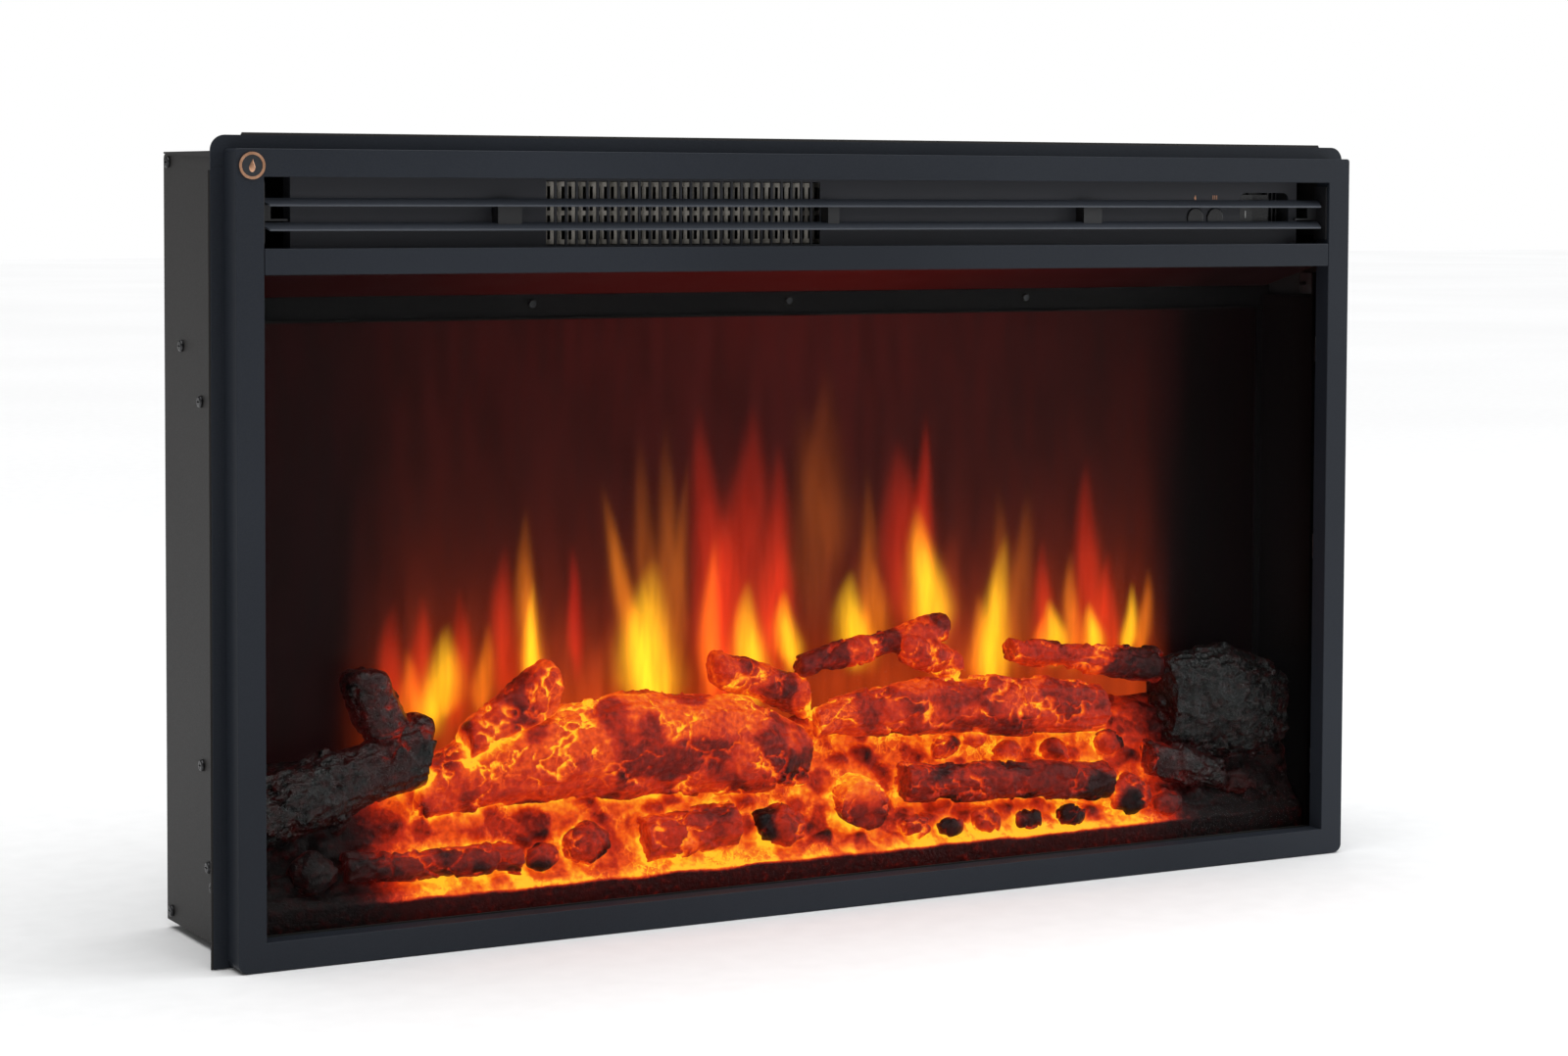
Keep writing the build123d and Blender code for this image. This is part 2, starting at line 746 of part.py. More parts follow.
scroll = scroll - rod_x(bush_plate_x, bush_plate_x + plate_thick, blower_y, blower_z, bush_outer)
scroll = scroll - rod_x(motor_plate_x - plate_thick, motor_plate_x, blower_y, blower_z, shaft_radius + 1.0)
save("blower_scroll", scroll)

blower_bush = rod_x(bush_plate_x - 2.0, bush_plate_x + plate_thick, blower_y, blower_z, bush_outer)
blower_bush = blower_bush - rod_x(
    bush_plate_x - 2.0, bush_plate_x + plate_thick, blower_y, blower_z, shaft_radius + running_clearance)
motor_end = motor_plate_x + blower_motor_length
shaft_end = motor_plate_x + blower_motor_length - 6.0
blower_motor = rod_x(motor_plate_x, motor_end, blower_y, blower_z, blower_motor_radius)
blower_motor = blower_motor - rod_x(
    motor_plate_x, shaft_end + 1.0, blower_y, blower_z, shaft_radius + running_clearance)
save("blower_motor", blower_motor)
save("blower_shaft", rod_x(bush_plate_x - 3.5, shaft_end, blower_y, blower_z, shaft_radius))

impeller_left = heater_left + impeller_end_gap
impeller_right = heater_right - impeller_end_gap
impeller_middle = (impeller_left + impeller_right) / 2
impeller_parts = []
for left in (impeller_left, impeller_middle - 0.6, impeller_right - 1.2):
    impeller_parts.append(rod_x(left, left + 1.2, blower_y, blower_z, impeller_radius))
blade_middle = impeller_radius - impeller_blade_width / 2 - 0.6
for number in range(impeller_blades):
    vane = Rot(35, 0, 0) * Box(impeller_right - impeller_left, 0.8, impeller_blade_width)
    vane = Rot(number * 360 / impeller_blades, 0, 0) * Pos(0, 0, blade_middle) * vane
    impeller_parts.append(Pos(impeller_middle, blower_y, blower_z) * vane)
impeller = total(impeller_parts)
impeller = impeller - rod_x(impeller_left, impeller_right, blower_y, blower_z, shaft_radius)
save("blower_impeller", impeller)

# ---------------------------------------------------------------- firebox
wall_outer = side_inner - wall_gap + sheet
wall_inner = wall_outer - sheet
lug_low = 28.0
lug_high = 56.0
lug_front = casing_front + 38.0
lug_back = casing_front + 58.0
ceiling_front_z = crossbar_bottom - 1.0
firebox_front = casing_front + 0.5
firebox_walls = []
for side in (-1, 1):
    wall = side_block(
        side, wall_inner, wall_outer, firebox_front, rail_front, window_bottom, rail_bottom + 10)
    wall = wall + side_block(
        side, wall_inner, side_inner, firebox_front, firebox_front + sheet,
        window_bottom, ceiling_front_z - 4)
    wall = wall - side_block(
        side, wall_inner - 1, side_inner, lug_front - 1, lug_back + 1, lug_low - 1, lug_high + 1)
    for height in tab_heights:
        wall = wall - side_block(
            side, side_inner - sheet - 1, side_inner, casing_front - 5, casing_front + 25,
            height - tab_half - 1, height + tab_half + 1)
    firebox_walls.append(wall)
save("firebox_side_walls", firebox_walls)

ceiling_back_y = rail_front - 4.0
ceiling_back_z = ceiling_front_z - ceiling_fall
ceiling = prism_x([
    (firebox_front, ceiling_front_z), (firebox_front, shelf_under),
    (firebox_front + sheet, shelf_under), (firebox_front + sheet, ceiling_front_z + sheet),
    (ceiling_back_y, ceiling_back_z + sheet), (rail_front, ceiling_back_z + sheet),
    (rail_front, ceiling_back_z), (ceiling_back_y, ceiling_back_z)],
    -wall_inner, wall_inner)
save("firebox_ceiling", ceiling)

rail_screw_columns = [-187.0, 5.0, 197.0]
rail_screw_z = ceiling_back_z - 6.5
rail_half = side_inner - 0.6
rail = block(-rail_half, rail_half, rail_front, screen_front, rail_bottom, shelf_under)
rail_foot = block(
    -wall_inner, wall_inner, rail_front - 2.0, rail_front, rail_bottom, rail_bottom + sheet)
rail = rail + rail_foot
for x in rail_screw_columns:
    rail = rail - rod_y(x, rail_front, screen_front, rail_screw_z, screw_radius)
for x in rail_screw_columns:
    head = rod_y(x, rail_front - 1.5, rail_front, rail_screw_z, 2.6)
    head = fillet(head.edges().sort_by(Axis.Y)[0], 0.8)
    screws.append(head + rod_y(x, rail_front, screen_front, rail_screw_z, screw_radius))
save("screws", screws)
save("screen_rail", rail)

screen_bottom = sheet + 12.0
screen_top = shelf_under - 4.0
save("flame_screen", block(-screen_half, screen_half, screen_front, screen_back, screen_bottom, screen_top))

channels = []
channel_top = rail_bottom - 0.5
for side in (-1, 1):
    leg_inner = screen_half - 4.0
    channel = side_block(
        side, side_inner - sheet, side_inner, rail_front, screen_back + sheet,
        window_bottom, channel_top)
    for front in (rail_front, screen_back):
        channel = channel + side_block(
            side, leg_inner, side_inner - sheet, front, front + sheet, window_bottom, channel_top)
    channels.append(channel - side_threads[side])
save("screen_channels", channels)

# The mask stands behind the screen. Its flame-shaped slots let the flicker through.
mask_low = 60.0
mask = block(-side_inner, side_inner, mask_front, mask_back, mask_low, mask_high)
for side in (-1, 1):
    mask = mask + side_block(
        side, side_inner - sheet, side_inner, mask_back, mask_back + 12, mask_low, mask_high)
mask_slots = 11
slot_foot = mask_low + 40.0
slot_pitch = 2 * (side_inner - 60) / mask_slots
for number in range(mask_slots):
    x = (number - (mask_slots - 1) / 2) * slot_pitch
    tall = 110.0 + 60.0 * math.cos(number * 2.4)
    lean = 6.0 * math.sin(number * 1.7)
    outline = make_face(Polyline(
        (x - 11, slot_foot), (x + 11, slot_foot), (x + 9 + lean / 2, slot_foot + tall * 0.4),
        (x + lean, slot_foot + tall), (x - 9 + lean / 2, slot_foot + tall * 0.45), close=True))
    mask = mask - prism_y(outline, mask_front, mask_back)
save("flame_mask", mask - side_threads[-1] - side_threads[1])

# ---------------------------------------------------------------- ember bed
# The bed rises to the back in steps. Distances are behind the casing's front.
bed_profile = [
    (bed_front, sheet), (bed_front, 26.0), (bed_front + 3.0, 28.5), (casing_front + 11, 32.0),
    (casing_front + 21, 45.0), (casing_front + 31, 75.0), (casing_front + 41, 99.0),
    (bed_back, 108.0), (bed_back, sheet)]
bed_hollow = [
    (bed_front + bed_wall, sheet), (bed_front + bed_wall, 24.0), (casing_front + 11, 29.0),
    (casing_front + 22, 42.0), (casing_front + 33, 73.0), (casing_front + 42, 96.0),
    (bed_back - bed_wall, 104.0), (bed_back - bed_wall, sheet)]
bed_solid = prism_x(bed_profile, -bed_half, bed_half)
bed = bed_solid - prism_x(bed_hollow, bed_wall - bed_half, bed_half - bed_wall)
for side in (-1, 1):
    lug = side_block(side, bed_half, side_inner, lug_front, lug_back, lug_low, lug_high)
    bed = bed + lug - side_threads[side]
save("ember_bed", bed)

# ---------------------------------------------------------------- logs and coals
log_sides = 12


def ring_of_points(radius, flat, turn):
    """A log's cross-section, round or flattened front to back."""
    points = []
    for number in range(log_sides):
        angle = turn + 2 * math.pi * number / log_sides
        points.append((flat * radius * math.cos(angle), radius * math.sin(angle)))
    return points


def log_body(plane_of, flat, turn, stations):
    """Straight lengths between cross-sections, each lying in a plane of one direction."""
    lengths = []
    for first, second in zip(stations, stations[1:]):
        faces = []
        for x, y, z, radius in (first, second):
            outline = make_face(Polyline(*ring_of_points(radius, flat, turn), close=True))
            faces.append(plane_of(x, y, z) * outline)
        lengths.append(loft(faces, ruled=True))
    return total(lengths)


def across(x, y, z):
    """A plane square to X, for logs that lie along the fire."""
    return Plane(origin=(x, y, z), x_dir=(0, 1, 0), z_dir=(1, 0, 0))


def level(x, y, z):
    """A plane square to Z, for a branch that stands up."""
    return Plane(origin=(x, y, z), x_dir=(0, 1, 0), z_dir=(0, 0, 1))


def facing(x, y, z):
    """A plane square to Y, for a log whose end faces the room."""
    return Plane(origin=(x, y, z), x_dir=(1, 0, 0), z_dir=(0, -1, 0))


def place(stations):
    """Stations at a share of the bed's half length and a distance behind the casing's front."""
    return [(share * bed_half, casing_front + back, z, radius) for share, back, z, radius in stations]


def coal(share, back, z, radius):
    """A lump with blunt ends."""
    end = radius / bed_half
    stations = [
        (share - end, back, z, radius * 0.55), (share, back, z, radius),
        (share + end, back, z, radius * 0.5)]
    return log_body(across, 0.9, share, place(stations))


# Lowest first: each log is cut away where it rests on the bed or on an earlier one.
# Each limb of a log is a direction, a flatness and its stations.
logs = {
    "log_left": [
        (across, 1.0, [(-0.985, 32, 80, 25), (-0.69, 34, 110, 21)]),
        (level, 1.0, [(-0.737, 36, 112, 13), (-0.78, 38, 163, 12)])],
    "log_centre_left": [(across, 0.72, [
        (-0.70, 32, 88, 18), (-0.53, 31, 106, 31), (-0.30, 30, 108, 37), (-0.10, 31, 101, 33),
        (0.005, 32, 89, 22)])],
    "log_right": [(across, 1.0, [
        (0.02, 30, 111, 12), (0.165, 32, 117, 19), (0.31, 32, 117, 21), (0.605, 32, 107, 19)])],
    "stump_right": [(across, 0.6, [(0.74, 32, 108, 32), (0.87, 32, 104, 45), (0.985, 32, 92, 38)])],
    "log_front_left": [(across, 1.0, [(-0.84, 13, 47, 10), (-0.54, 13, 42, 11)])],
    "log_short_front": [(across, 1.0, [(-0.32, 18, 45, 17), (-0.145, 18, 50, 17)])],
    "log_round_end": [(facing, 1.0, [(0.087, 26, 60, 18), (0.087, 4, 57, 19)])],
    "log_front_right": [(across, 1.0, [(0.175, 16, 69, 13.5), (0.60, 16, 57, 14)])],
    "log_far_right": [(across, 1.0, [(0.685, 22, 70, 15), (0.855, 22, 50, 14)])],
    "log_stub_top": [(across, 1.0, [(-0.62, 22, 118, 11), (-0.475, 26, 150, 14)])],
    "log_back_stub": [(across, 1.0, [(-0.15, 42, 152, 10), (0.02, 42, 128, 12)])],
    "log_top": [
        (across, 1.0, [(0.01, 42, 149, 7), (0.30, 44, 168, 8)]),
        (across, 1.0, [(0.205, 38, 158, 8), (0.31, 36, 144, 9.5)])],
    "log_upper_right": [(across, 1.0, [(0.43, 43, 150, 10), (0.745, 42, 131, 13)])],
}
log_turn = 0.26
placed = [bed_solid]


def rest_on_others(body):
    """The body without what lies inside the bed or an earlier log."""
    box = body.bounding_box()
    for other in placed:
        near = other.bounding_box()
        apart = (
            box.min.X > near.max.X or box.max.X < near.min.X or box.min.Y > near.max.Y
            or box.max.Y < near.min.Y or box.min.Z > near.max.Z or box.max.Z < near.min.Z)
        if not apart:
            body = body - other
    body = largest(body)
    placed.append(body)
    return body


for name, limbs in logs.items():
    bodies = [log_body(plane_of, flat, log_turn, place(stations)) for plane_of, flat, stations in limbs]
    save(name, rest_on_others(total(bodies)))

front_places = [
    (-0.895, 14, 45, 12), (-0.505, 11, 43, 9), (-0.42, 15, 46, 13), (-0.06, 16, 45, 16),
    (0.195, 10, 38, 10), (0.262, 10, 36, 8), (0.337, 10, 36, 9), (0.42, 10, 34, 9),
    (0.51, 10, 34, 10), (0.64, 15, 44, 15), (0.715, 12, 36, 10), (0.885, 18, 45, 11)]
middle_places = [
    (0.285, 30, 87, 9.5), (0.345, 32, 93, 8), (0.405, 28, 79, 9), (0.505, 28, 78, 9), (0.62, 29, 82, 10)]
save("coals", [rest_on_others(coal(*spot)) for spot in front_places + middle_places])

# ---------------------------------------------------------------- flicker spindle
spindle_left = -side_inner + 20.0
spindle_right = side_inner - 60.0
bracket_thick = 1.6
foot_depth = 14.0
bracket_blocks = []
for left, foot_side in ((spindle_left, 1), (spindle_right, -1)):
    upright = block(
        left, left + bracket_thick, spindle_y - 13, spindle_y + 13, sheet, spindle_height + 17)
    foot_x = left + bracket_thick if foot_side > 0 else left
    foot = block(
        foot_x, foot_x + foot_side * foot_depth, spindle_y - 13, spindle_y + 13, sheet, 2 * sheet)
    hole = spindle_radius + 3.0
    bracket_blocks.append(
        upright + foot - rod_x(left, left + bracket_thick, spindle_y, spindle_height, hole))
spindle_bush = rod_x(
    spindle_left - 2, spindle_left + bracket_thick, spindle_y, spindle_height, spindle_radius + 3.0)
spindle_bore = spindle_radius + running_clearance
spindle_bush = spindle_bush - rod_x(
    spindle_left - 2, spindle_left + bracket_thick, spindle_y, spindle_height, spindle_bore)
save("shaft_bushes", [blower_bush, spindle_bush])

spindle_motor_start = spindle_right + bracket_thick
spindle_motor_end = spindle_motor_start + spindle_motor_length
spindle_motor = rod_x(
    spindle_motor_start, spindle_motor_end, spindle_y, spindle_height, spindle_motor_radius)
spindle_motor = spindle_motor - rod_x(
    spindle_motor_start, spindle_motor_end - 4, spindle_y, spindle_height, spindle_bore)
save("spindle_motor", spindle_motor)
save("flicker_spindle", rod_x(
    spindle_left - 5, spindle_motor_end - 5, spindle_y, spindle_height, spindle_radius))

sleeve_radius = spindle_radius + sleeve_wall
segment = (spindle_right - spindle_left - 24.0) / vane_segments
vanes = []
for number in range(vane_segments):
    x = spindle_left + 12.0 + (number + 0.5) * segment
    sleeve = rod_x(x - segment / 2, x + segment / 2, spindle_y, spindle_height, sleeve_radius)
    plate = Box(segment - 3.0, 2 * vane_radius, vane_sheet)
    plate = Pos(x, spindle_y, spindle_height) * Rot(number * 50, 0, 0) * plate
    core = rod_x(x - segment / 2, x + segment / 2, spindle_y, spindle_height, spindle_radius)
    vanes.append(sleeve + plate - core)
save("flicker_vanes", vanes)

# ---------------------------------------------------------------- lights
light_half = spindle_right - 30.0
led_count = 22
lamp_half = 1.8
lamp_height = 1.4
light_z = 20.0
light_bracket = block(-light_half, light_half, spindle_y - 0.6, spindle_y + 0.6, sheet, light_z)
light_bracket = light_bracket + block(
    -light_half, light_half, spindle_y - 10, spindle_y + 0.6, sheet, 2 * sheet)
save("rear_brackets", bracket_blocks + [light_bracket])


def light_strip(y0, y1, z):
    """A strip of circuit board with a row of lamps on it."""
    strip = block(-light_half, light_half, y0, y1, z, z + board_sheet)
    lamps = []
    for number in range(led_count):
        x = (number - (led_count - 1) / 2) * 2 * light_half / led_count
        middle = (y0 + y1) / 2
        lamps.append(block(
            x - lamp_half, x + lamp_half, middle - lamp_half, middle + lamp_half,
            z + board_sheet, z + board_sheet + lamp_height))
    return total([strip] + lamps)


ember_board_z = 7.0
ember_board_y = (bed_front + bed_back) / 2
flame_lights = light_strip(spindle_y - 8, spindle_y + 8, light_z)
ember_lights = light_strip(ember_board_y - 8, ember_board_y + 8, ember_board_z)
save("light_boards", [flame_lights, ember_lights])
for x in (5 - light_half, 0.0, light_half - 5):
    for offset in (-5.0, 5.0):
        board_spacers.append(rod_z(x, ember_board_y + offset, sheet, ember_board_z, 2.5))
save("board_spacers", board_spacers)

# ---------------------------------------------------------------- mains connection
terminal_block = block(
    side_inner - 34, side_inner - 10, screen_back + 5, screen_back + 21, sheet, 15.0)
for number in range(3):
    x = side_inner - 30 + 8 * number
    terminal_block = terminal_block - rod_z(x, screen_back + 13, 9.0, 15.0, 2.0)
save("terminal_block", terminal_block)

gland_y = casing_front + gland_back
gland = rod_x(side_inner - 6, side_outer, gland_y, gland_height, gland_radius)
gland = gland + rod_x(side_outer, side_outer + 3, gland_y, gland_height, gland_flange)
gland = gland - rod_x(side_inner - 6, side_outer + 3, gland_y, gland_height, cable_radius)
nut = rod_x(side_inner - 4, side_inner, gland_y, gland_height, gland_flange)
nut = nut - rod_x(side_inner - 4, side_inner, gland_y, gland_height, gland_radius)
save("cable_gland", [gland, nut])
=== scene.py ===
# %% [markdown]
# # A built-in electric fire
# The fire is a black steel box for a wall recess. A trimmed front frame holds a window over a
# glowing log set, and a louvred slot above it hides a fan heater and its controls.
# The imported model already has every sheet, screw and shaft in its true place. This script adds
# what makes it look real: paint, steel, glass, carved logs, embers and the picture of flames on
# the screen behind them.

# %% Load the fixed frame
import math

import bpy
import numpy as np
from mathutils import Matrix, Vector, noise
from mathutils.bvhtree import BVHTree


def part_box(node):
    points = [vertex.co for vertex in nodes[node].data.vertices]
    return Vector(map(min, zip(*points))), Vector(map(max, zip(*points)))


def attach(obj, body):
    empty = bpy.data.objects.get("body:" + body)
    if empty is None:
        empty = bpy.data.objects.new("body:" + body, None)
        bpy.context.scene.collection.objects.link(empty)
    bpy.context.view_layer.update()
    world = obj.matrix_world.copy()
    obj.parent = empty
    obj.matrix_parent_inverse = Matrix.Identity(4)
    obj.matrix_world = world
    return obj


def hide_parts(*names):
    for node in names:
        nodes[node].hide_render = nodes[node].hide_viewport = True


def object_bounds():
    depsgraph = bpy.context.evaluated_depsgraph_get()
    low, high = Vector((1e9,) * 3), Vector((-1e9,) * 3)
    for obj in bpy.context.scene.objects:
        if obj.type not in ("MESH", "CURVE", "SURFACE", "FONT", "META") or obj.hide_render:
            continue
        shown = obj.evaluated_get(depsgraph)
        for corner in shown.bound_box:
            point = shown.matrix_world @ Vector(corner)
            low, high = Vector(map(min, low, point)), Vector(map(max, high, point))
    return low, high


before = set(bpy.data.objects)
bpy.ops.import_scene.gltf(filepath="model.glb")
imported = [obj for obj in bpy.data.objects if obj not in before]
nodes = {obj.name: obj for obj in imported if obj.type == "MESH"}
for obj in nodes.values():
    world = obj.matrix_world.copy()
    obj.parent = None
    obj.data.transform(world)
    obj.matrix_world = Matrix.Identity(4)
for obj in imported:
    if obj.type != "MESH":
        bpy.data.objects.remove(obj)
cad_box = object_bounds()
scene = bpy.context.scene
print("nodes:", len(nodes), "box:", [round(value, 4) for corner in cad_box for value in corner])

# %% [markdown]
# ## The camera and the light come first
# The fire is seen from the left and from about its own height, so that the casing's side shows.
# A long lens keeps the frame's edges nearly parallel. The view transform is the plain one,
# because a glowing orange must stay a saturated orange.

# %% Camera
camera_data = bpy.data.cameras.new("camera")
camera_data.sensor_width = 36.0
camera_data.lens = 78.74
camera_data.shift_y = -0.10
camera_data.clip_end = 60.0
camera = bpy.data.objects.new("camera", camera_data)
scene.collection.objects.link(camera)
scene.camera = camera
camera_place = Vector((-1.1280, -2.0526, 0.4740))
turn_right = math.radians(28.90)
dip = math.radians(3.045)
roll = math.radians(0.243)
aim = Matrix.Rotation(-turn_right, 4, "Z") @ Matrix.Rotation(math.pi / 2 - dip, 4, "X")
camera.matrix_world = Matrix.Translation(camera_place) @ aim @ Matrix.Rotation(roll, 4, "Z")
scene.view_settings.view_transform = "Standard"
print("camera at", tuple(round(value, 3) for value in camera_place))

# %% [markdown]
# A white studio is a white floor, a pale surround and a few large lamps. The surround is white
# where the camera sees it, and dimmer where it lights the fire, so that black paint stays black.

# %% Surround, lamps and floor
world = bpy.data.worlds.new("studio")
scene.world = world
world.use_nodes = True
world_tree = world.node_tree
surround = world_tree.nodes["Background"]
seen = world_tree.nodes.new("ShaderNodeBackground")
seen.inputs["Color"].default_value = (1.0, 1.0, 1.0, 1.0)
surround.inputs["Color"].default_value = (0.96, 0.98, 1.0, 1.0)
surround.inputs["Strength"].default_value = 0.20
ray_kind = world_tree.nodes.new("ShaderNodeLightPath")
choice = world_tree.nodes.new("ShaderNodeMixShader")
world_tree.links.new(ray_kind.outputs["Is Camera Ray"], choice.inputs["Fac"])
world_tree.links.new(surround.outputs["Background"], choice.inputs[1])
world_tree.links.new(seen.outputs["Background"], choice.inputs[2])
world_tree.links.new(choice.outputs["Shader"], world_tree.nodes["World Output"].inputs["Surface"])


def lamp(name, place, target, size, power, colour=(1.0, 1.0, 1.0)):
    """A square soft lamp that points at a target."""
    data = bpy.data.lights.new(name, "AREA")
    data.size = size
    data.energy = power
    data.color = colour
    made = bpy.data.objects.new(name, data)
    made.location = place
    made.rotation_euler = (Vector(target) - Vector(place)).to_track_quat("-Z", "Y").to_euler()
    scene.collection.objects.link(made)
    return made


middle = (0.0, 0.0, 0.25)
sky_data = bpy.data.lights.new("overhead_light", "SUN")
sky_data.energy = 3.0
sky_data.angle = math.radians(70)
sky = bpy.data.objects.new("overhead_light", sky_data)
sky.rotation_euler = (math.radians(6), 0.0, 0.0)
scene.collection.objects.link(sky)
lamp("right_lamp", (3.0, -1.5, 1.3), middle, size=1.6, power=40.0, colour=(0.94, 0.97, 1.0))
lamp("left_lamp", (-3.2, -0.6, 1.3), middle, size=1.6, power=5.0, colour=(1.0, 0.97, 0.94))

# %% [markdown]
# ## Small helpers
# Every finish but the clear glass is a Principled shader. Its colour and roughness, and mostly its
# bump too, come from noise on the object's own coordinates. One helper starts a material, and
# others add a noise, a colour ramp and a bump. A grain is given by its real size in metres.


# %% Material helpers
def start_material(name, metallic=0.0, specular=0.5):
    """A new material, its node tree, its Principled shader and the object coordinates."""
    material = bpy.data.materials.new(name)
    material.use_nodes = True
    tree = material.node_tree
    shader = tree.nodes["Principled BSDF"]
    shader.inputs["Metallic"].default_value = metallic
    shader.inputs["Specular IOR Level"].default_value = specular
    where = tree.nodes.new("ShaderNodeTexCoord").outputs["Object"]
    return material, tree, shader, where


def add_noise(tree, where, grain, detail=3.0, stretch=(1.0, 1.0, 1.0)):
    """Noise with lumps of about the given size, drawn out along an axis where stretch is small."""
    mapping = tree.nodes.new("ShaderNodeMapping")
    mapping.inputs["Scale"].default_value = stretch
    tree.links.new(where, mapping.inputs["Vector"])
    texture = tree.nodes.new("ShaderNodeTexNoise")
    texture.inputs["Scale"].default_value = 1.0 / grain
    texture.inputs["Detail"].default_value = detail
    tree.links.new(mapping.outputs["Vector"], texture.inputs["Vector"])
    return texture.outputs["Fac"]


def add_ramp(tree, value, stops):
    """A colour that follows a value through the given (position, colour) stops."""
    ramp = tree.nodes.new("ShaderNodeValToRGB")
    elements = ramp.color_ramp.elements
    while len(elements) < len(stops):
        elements.new(0.5)
    for element, (position, colour) in zip(elements, stops):
        element.position = position
        element.color = (*colour, 1.0)
    tree.links.new(value, ramp.inputs["Fac"])
    return ramp.outputs["Color"]


def add_range(tree, value, low, high, new_low, new_high):
    """A value moved from one range to another."""
    node = tree.nodes.new("ShaderNodeMapRange")
    for socket, number in zip(node.inputs[1:5], (low, high, new_low, new_high)):
        socket.default_value = number
    tree.links.new(value, node.inputs[0])
    return node.outputs[0]


def add_math(tree, operation, first, second):
    """A sum or a product of a socket and another socket or number."""
    node = tree.nodes.new("ShaderNodeMath")
    node.operation = operation
    for socket, value in zip(node.inputs, (first, second)):
        if isinstance(value, (int, float)):
            socket.default_value = value
        else:
            tree.links.new(value, socket)
    return node.outputs[0]


def add_bump(tree, shader, height, depth):
    """Surface grain of the given depth in metres."""
    bump = tree.nodes.new("ShaderNodeBump")
    bump.inputs["Distance"].default_value = depth
    tree.links.new(height, bump.inputs["Height"])
    tree.links.new(bump.outputs["Normal"], shader.inputs["Normal"])


def mottled(
        name, colours, drift, grain, depth, roughness, metallic=0.0, stretch=(1.0, 1.0, 1.0),
        specular=0.5):
    """A finish between two shades, with a slow drift, a fine grain and uneven gloss."""
    material, tree, shader, where = start_material(name, metallic, specular)
    broad = add_noise(tree, where, drift, 2.0)
    fine = add_noise(tree, where, grain, 3.0, stretch)
    broad_part = add_math(tree, "MULTIPLY", broad, 0.6)
    fine_part = add_math(tree, "MULTIPLY", fine, 0.4)
    shade = add_math(tree, "ADD", broad_part, fine_part)
    base = add_ramp(tree, shade, [(0.38, colours[0]), (0.62, colours[1])])
    tree.links.new(base, shader.inputs["Base Color"])
    tree.links.new(add_range(tree, fine, 0.3, 0.7, *roughness), shader.inputs["Roughness"])
    add_bump(tree, shader, fine, depth)
    return material


def paint(material, *names):
    """Gives a finish to CAD nodes."""
    for name in names:
        nodes[name].data.materials.clear()
        nodes[name].data.materials.append(material)
    print(material.name, "->", ", ".join(names))


# %% [markdown]
# ## Powder coat
# The casing, the frame and the louvres are steel with a fine-textured powder coat. It is baked
# plastic dust, so up close it is an even orange peel with grains of a millimetre or less, never a
# flat black. The frame's coat leans to blue, the casing's to brown, and the blades are a lighter
# slate.

# %% Painted sheet metal
frame_coat = mottled(
    "frame_charcoal", [(0.014, 0.017, 0.023), (0.022, 0.026, 0.034)], 0.30, 0.0007, 0.00004, (0.40, 0.52),
    specular=0.16)
casing_coat = mottled(
    "casing_grey", [(0.026, 0.0245, 0.024), (0.034, 0.032, 0.031)], 0.25, 0.0009, 0.00003, (0.46, 0.58),
    specular=0.15)
blade_coat = mottled(
    "blade_slate", [(0.040, 0.046, 0.058), (0.055, 0.062, 0.076)], 0.20, 0.0006, 0.00002, (0.34, 0.44))
panel_coat = mottled(
    "panel_charcoal", [(0.030, 0.031, 0.036), (0.042, 0.043, 0.050)], 0.20, 0.0008, 0.00005, (0.46, 0.60),
    specular=0.2)
bracket_coat = mottled(
    "bracket_black", [(0.006, 0.006, 0.007), (0.012, 0.012, 0.014)], 0.05, 0.0008, 0.00003, (0.40, 0.55))
inner_coat = mottled(
    "firebox_black", [(0.0012, 0.0008, 0.0008), (0.0030, 0.0014, 0.0014)], 0.10, 0.0010, 0.00004,
    (0.55, 0.75), specular=0.15)
paint(frame_coat, "front_frame", "crossbar", "top_trim_strip", "side_trim_strips")
paint(casing_coat, "left_side_panel", "right_side_panel", "top_panel", "bottom_panel", "rear_panel")
paint(blade_coat, "louvre_blades")
paint(panel_coat, "control_panel")
paint(bracket_coat, "blade_brackets")
paint(inner_coat, "firebox_side_walls", "screen_rail", "screen_channels", "flame_mask")

# %% [markdown]
# The frame is folded from sheet, so none of its edges is truly sharp. A small bevel gives each
# one the thin bright line that a real fold has. The mesh is welded first so that edges join.

# %% Folded edges
fold_radius = 0.00035
for name in ("front_frame", "crossbar", "top_trim_strip", "side_trim_strips", "louvre_blades"):
    weld = nodes[name].modifiers.new("weld", "WELD")
    weld.merge_threshold = 0.00001
    fold = nodes[name].modifiers.new("fold", "BEVEL")
    fold.width = fold_radius
    fold.segments = 2
    fold.limit_method = "ANGLE"
    fold.angle_limit = math.radians(40)
    fold.harden_normals = True
print("folds of", fold_radius, "m on the frame and the blades")
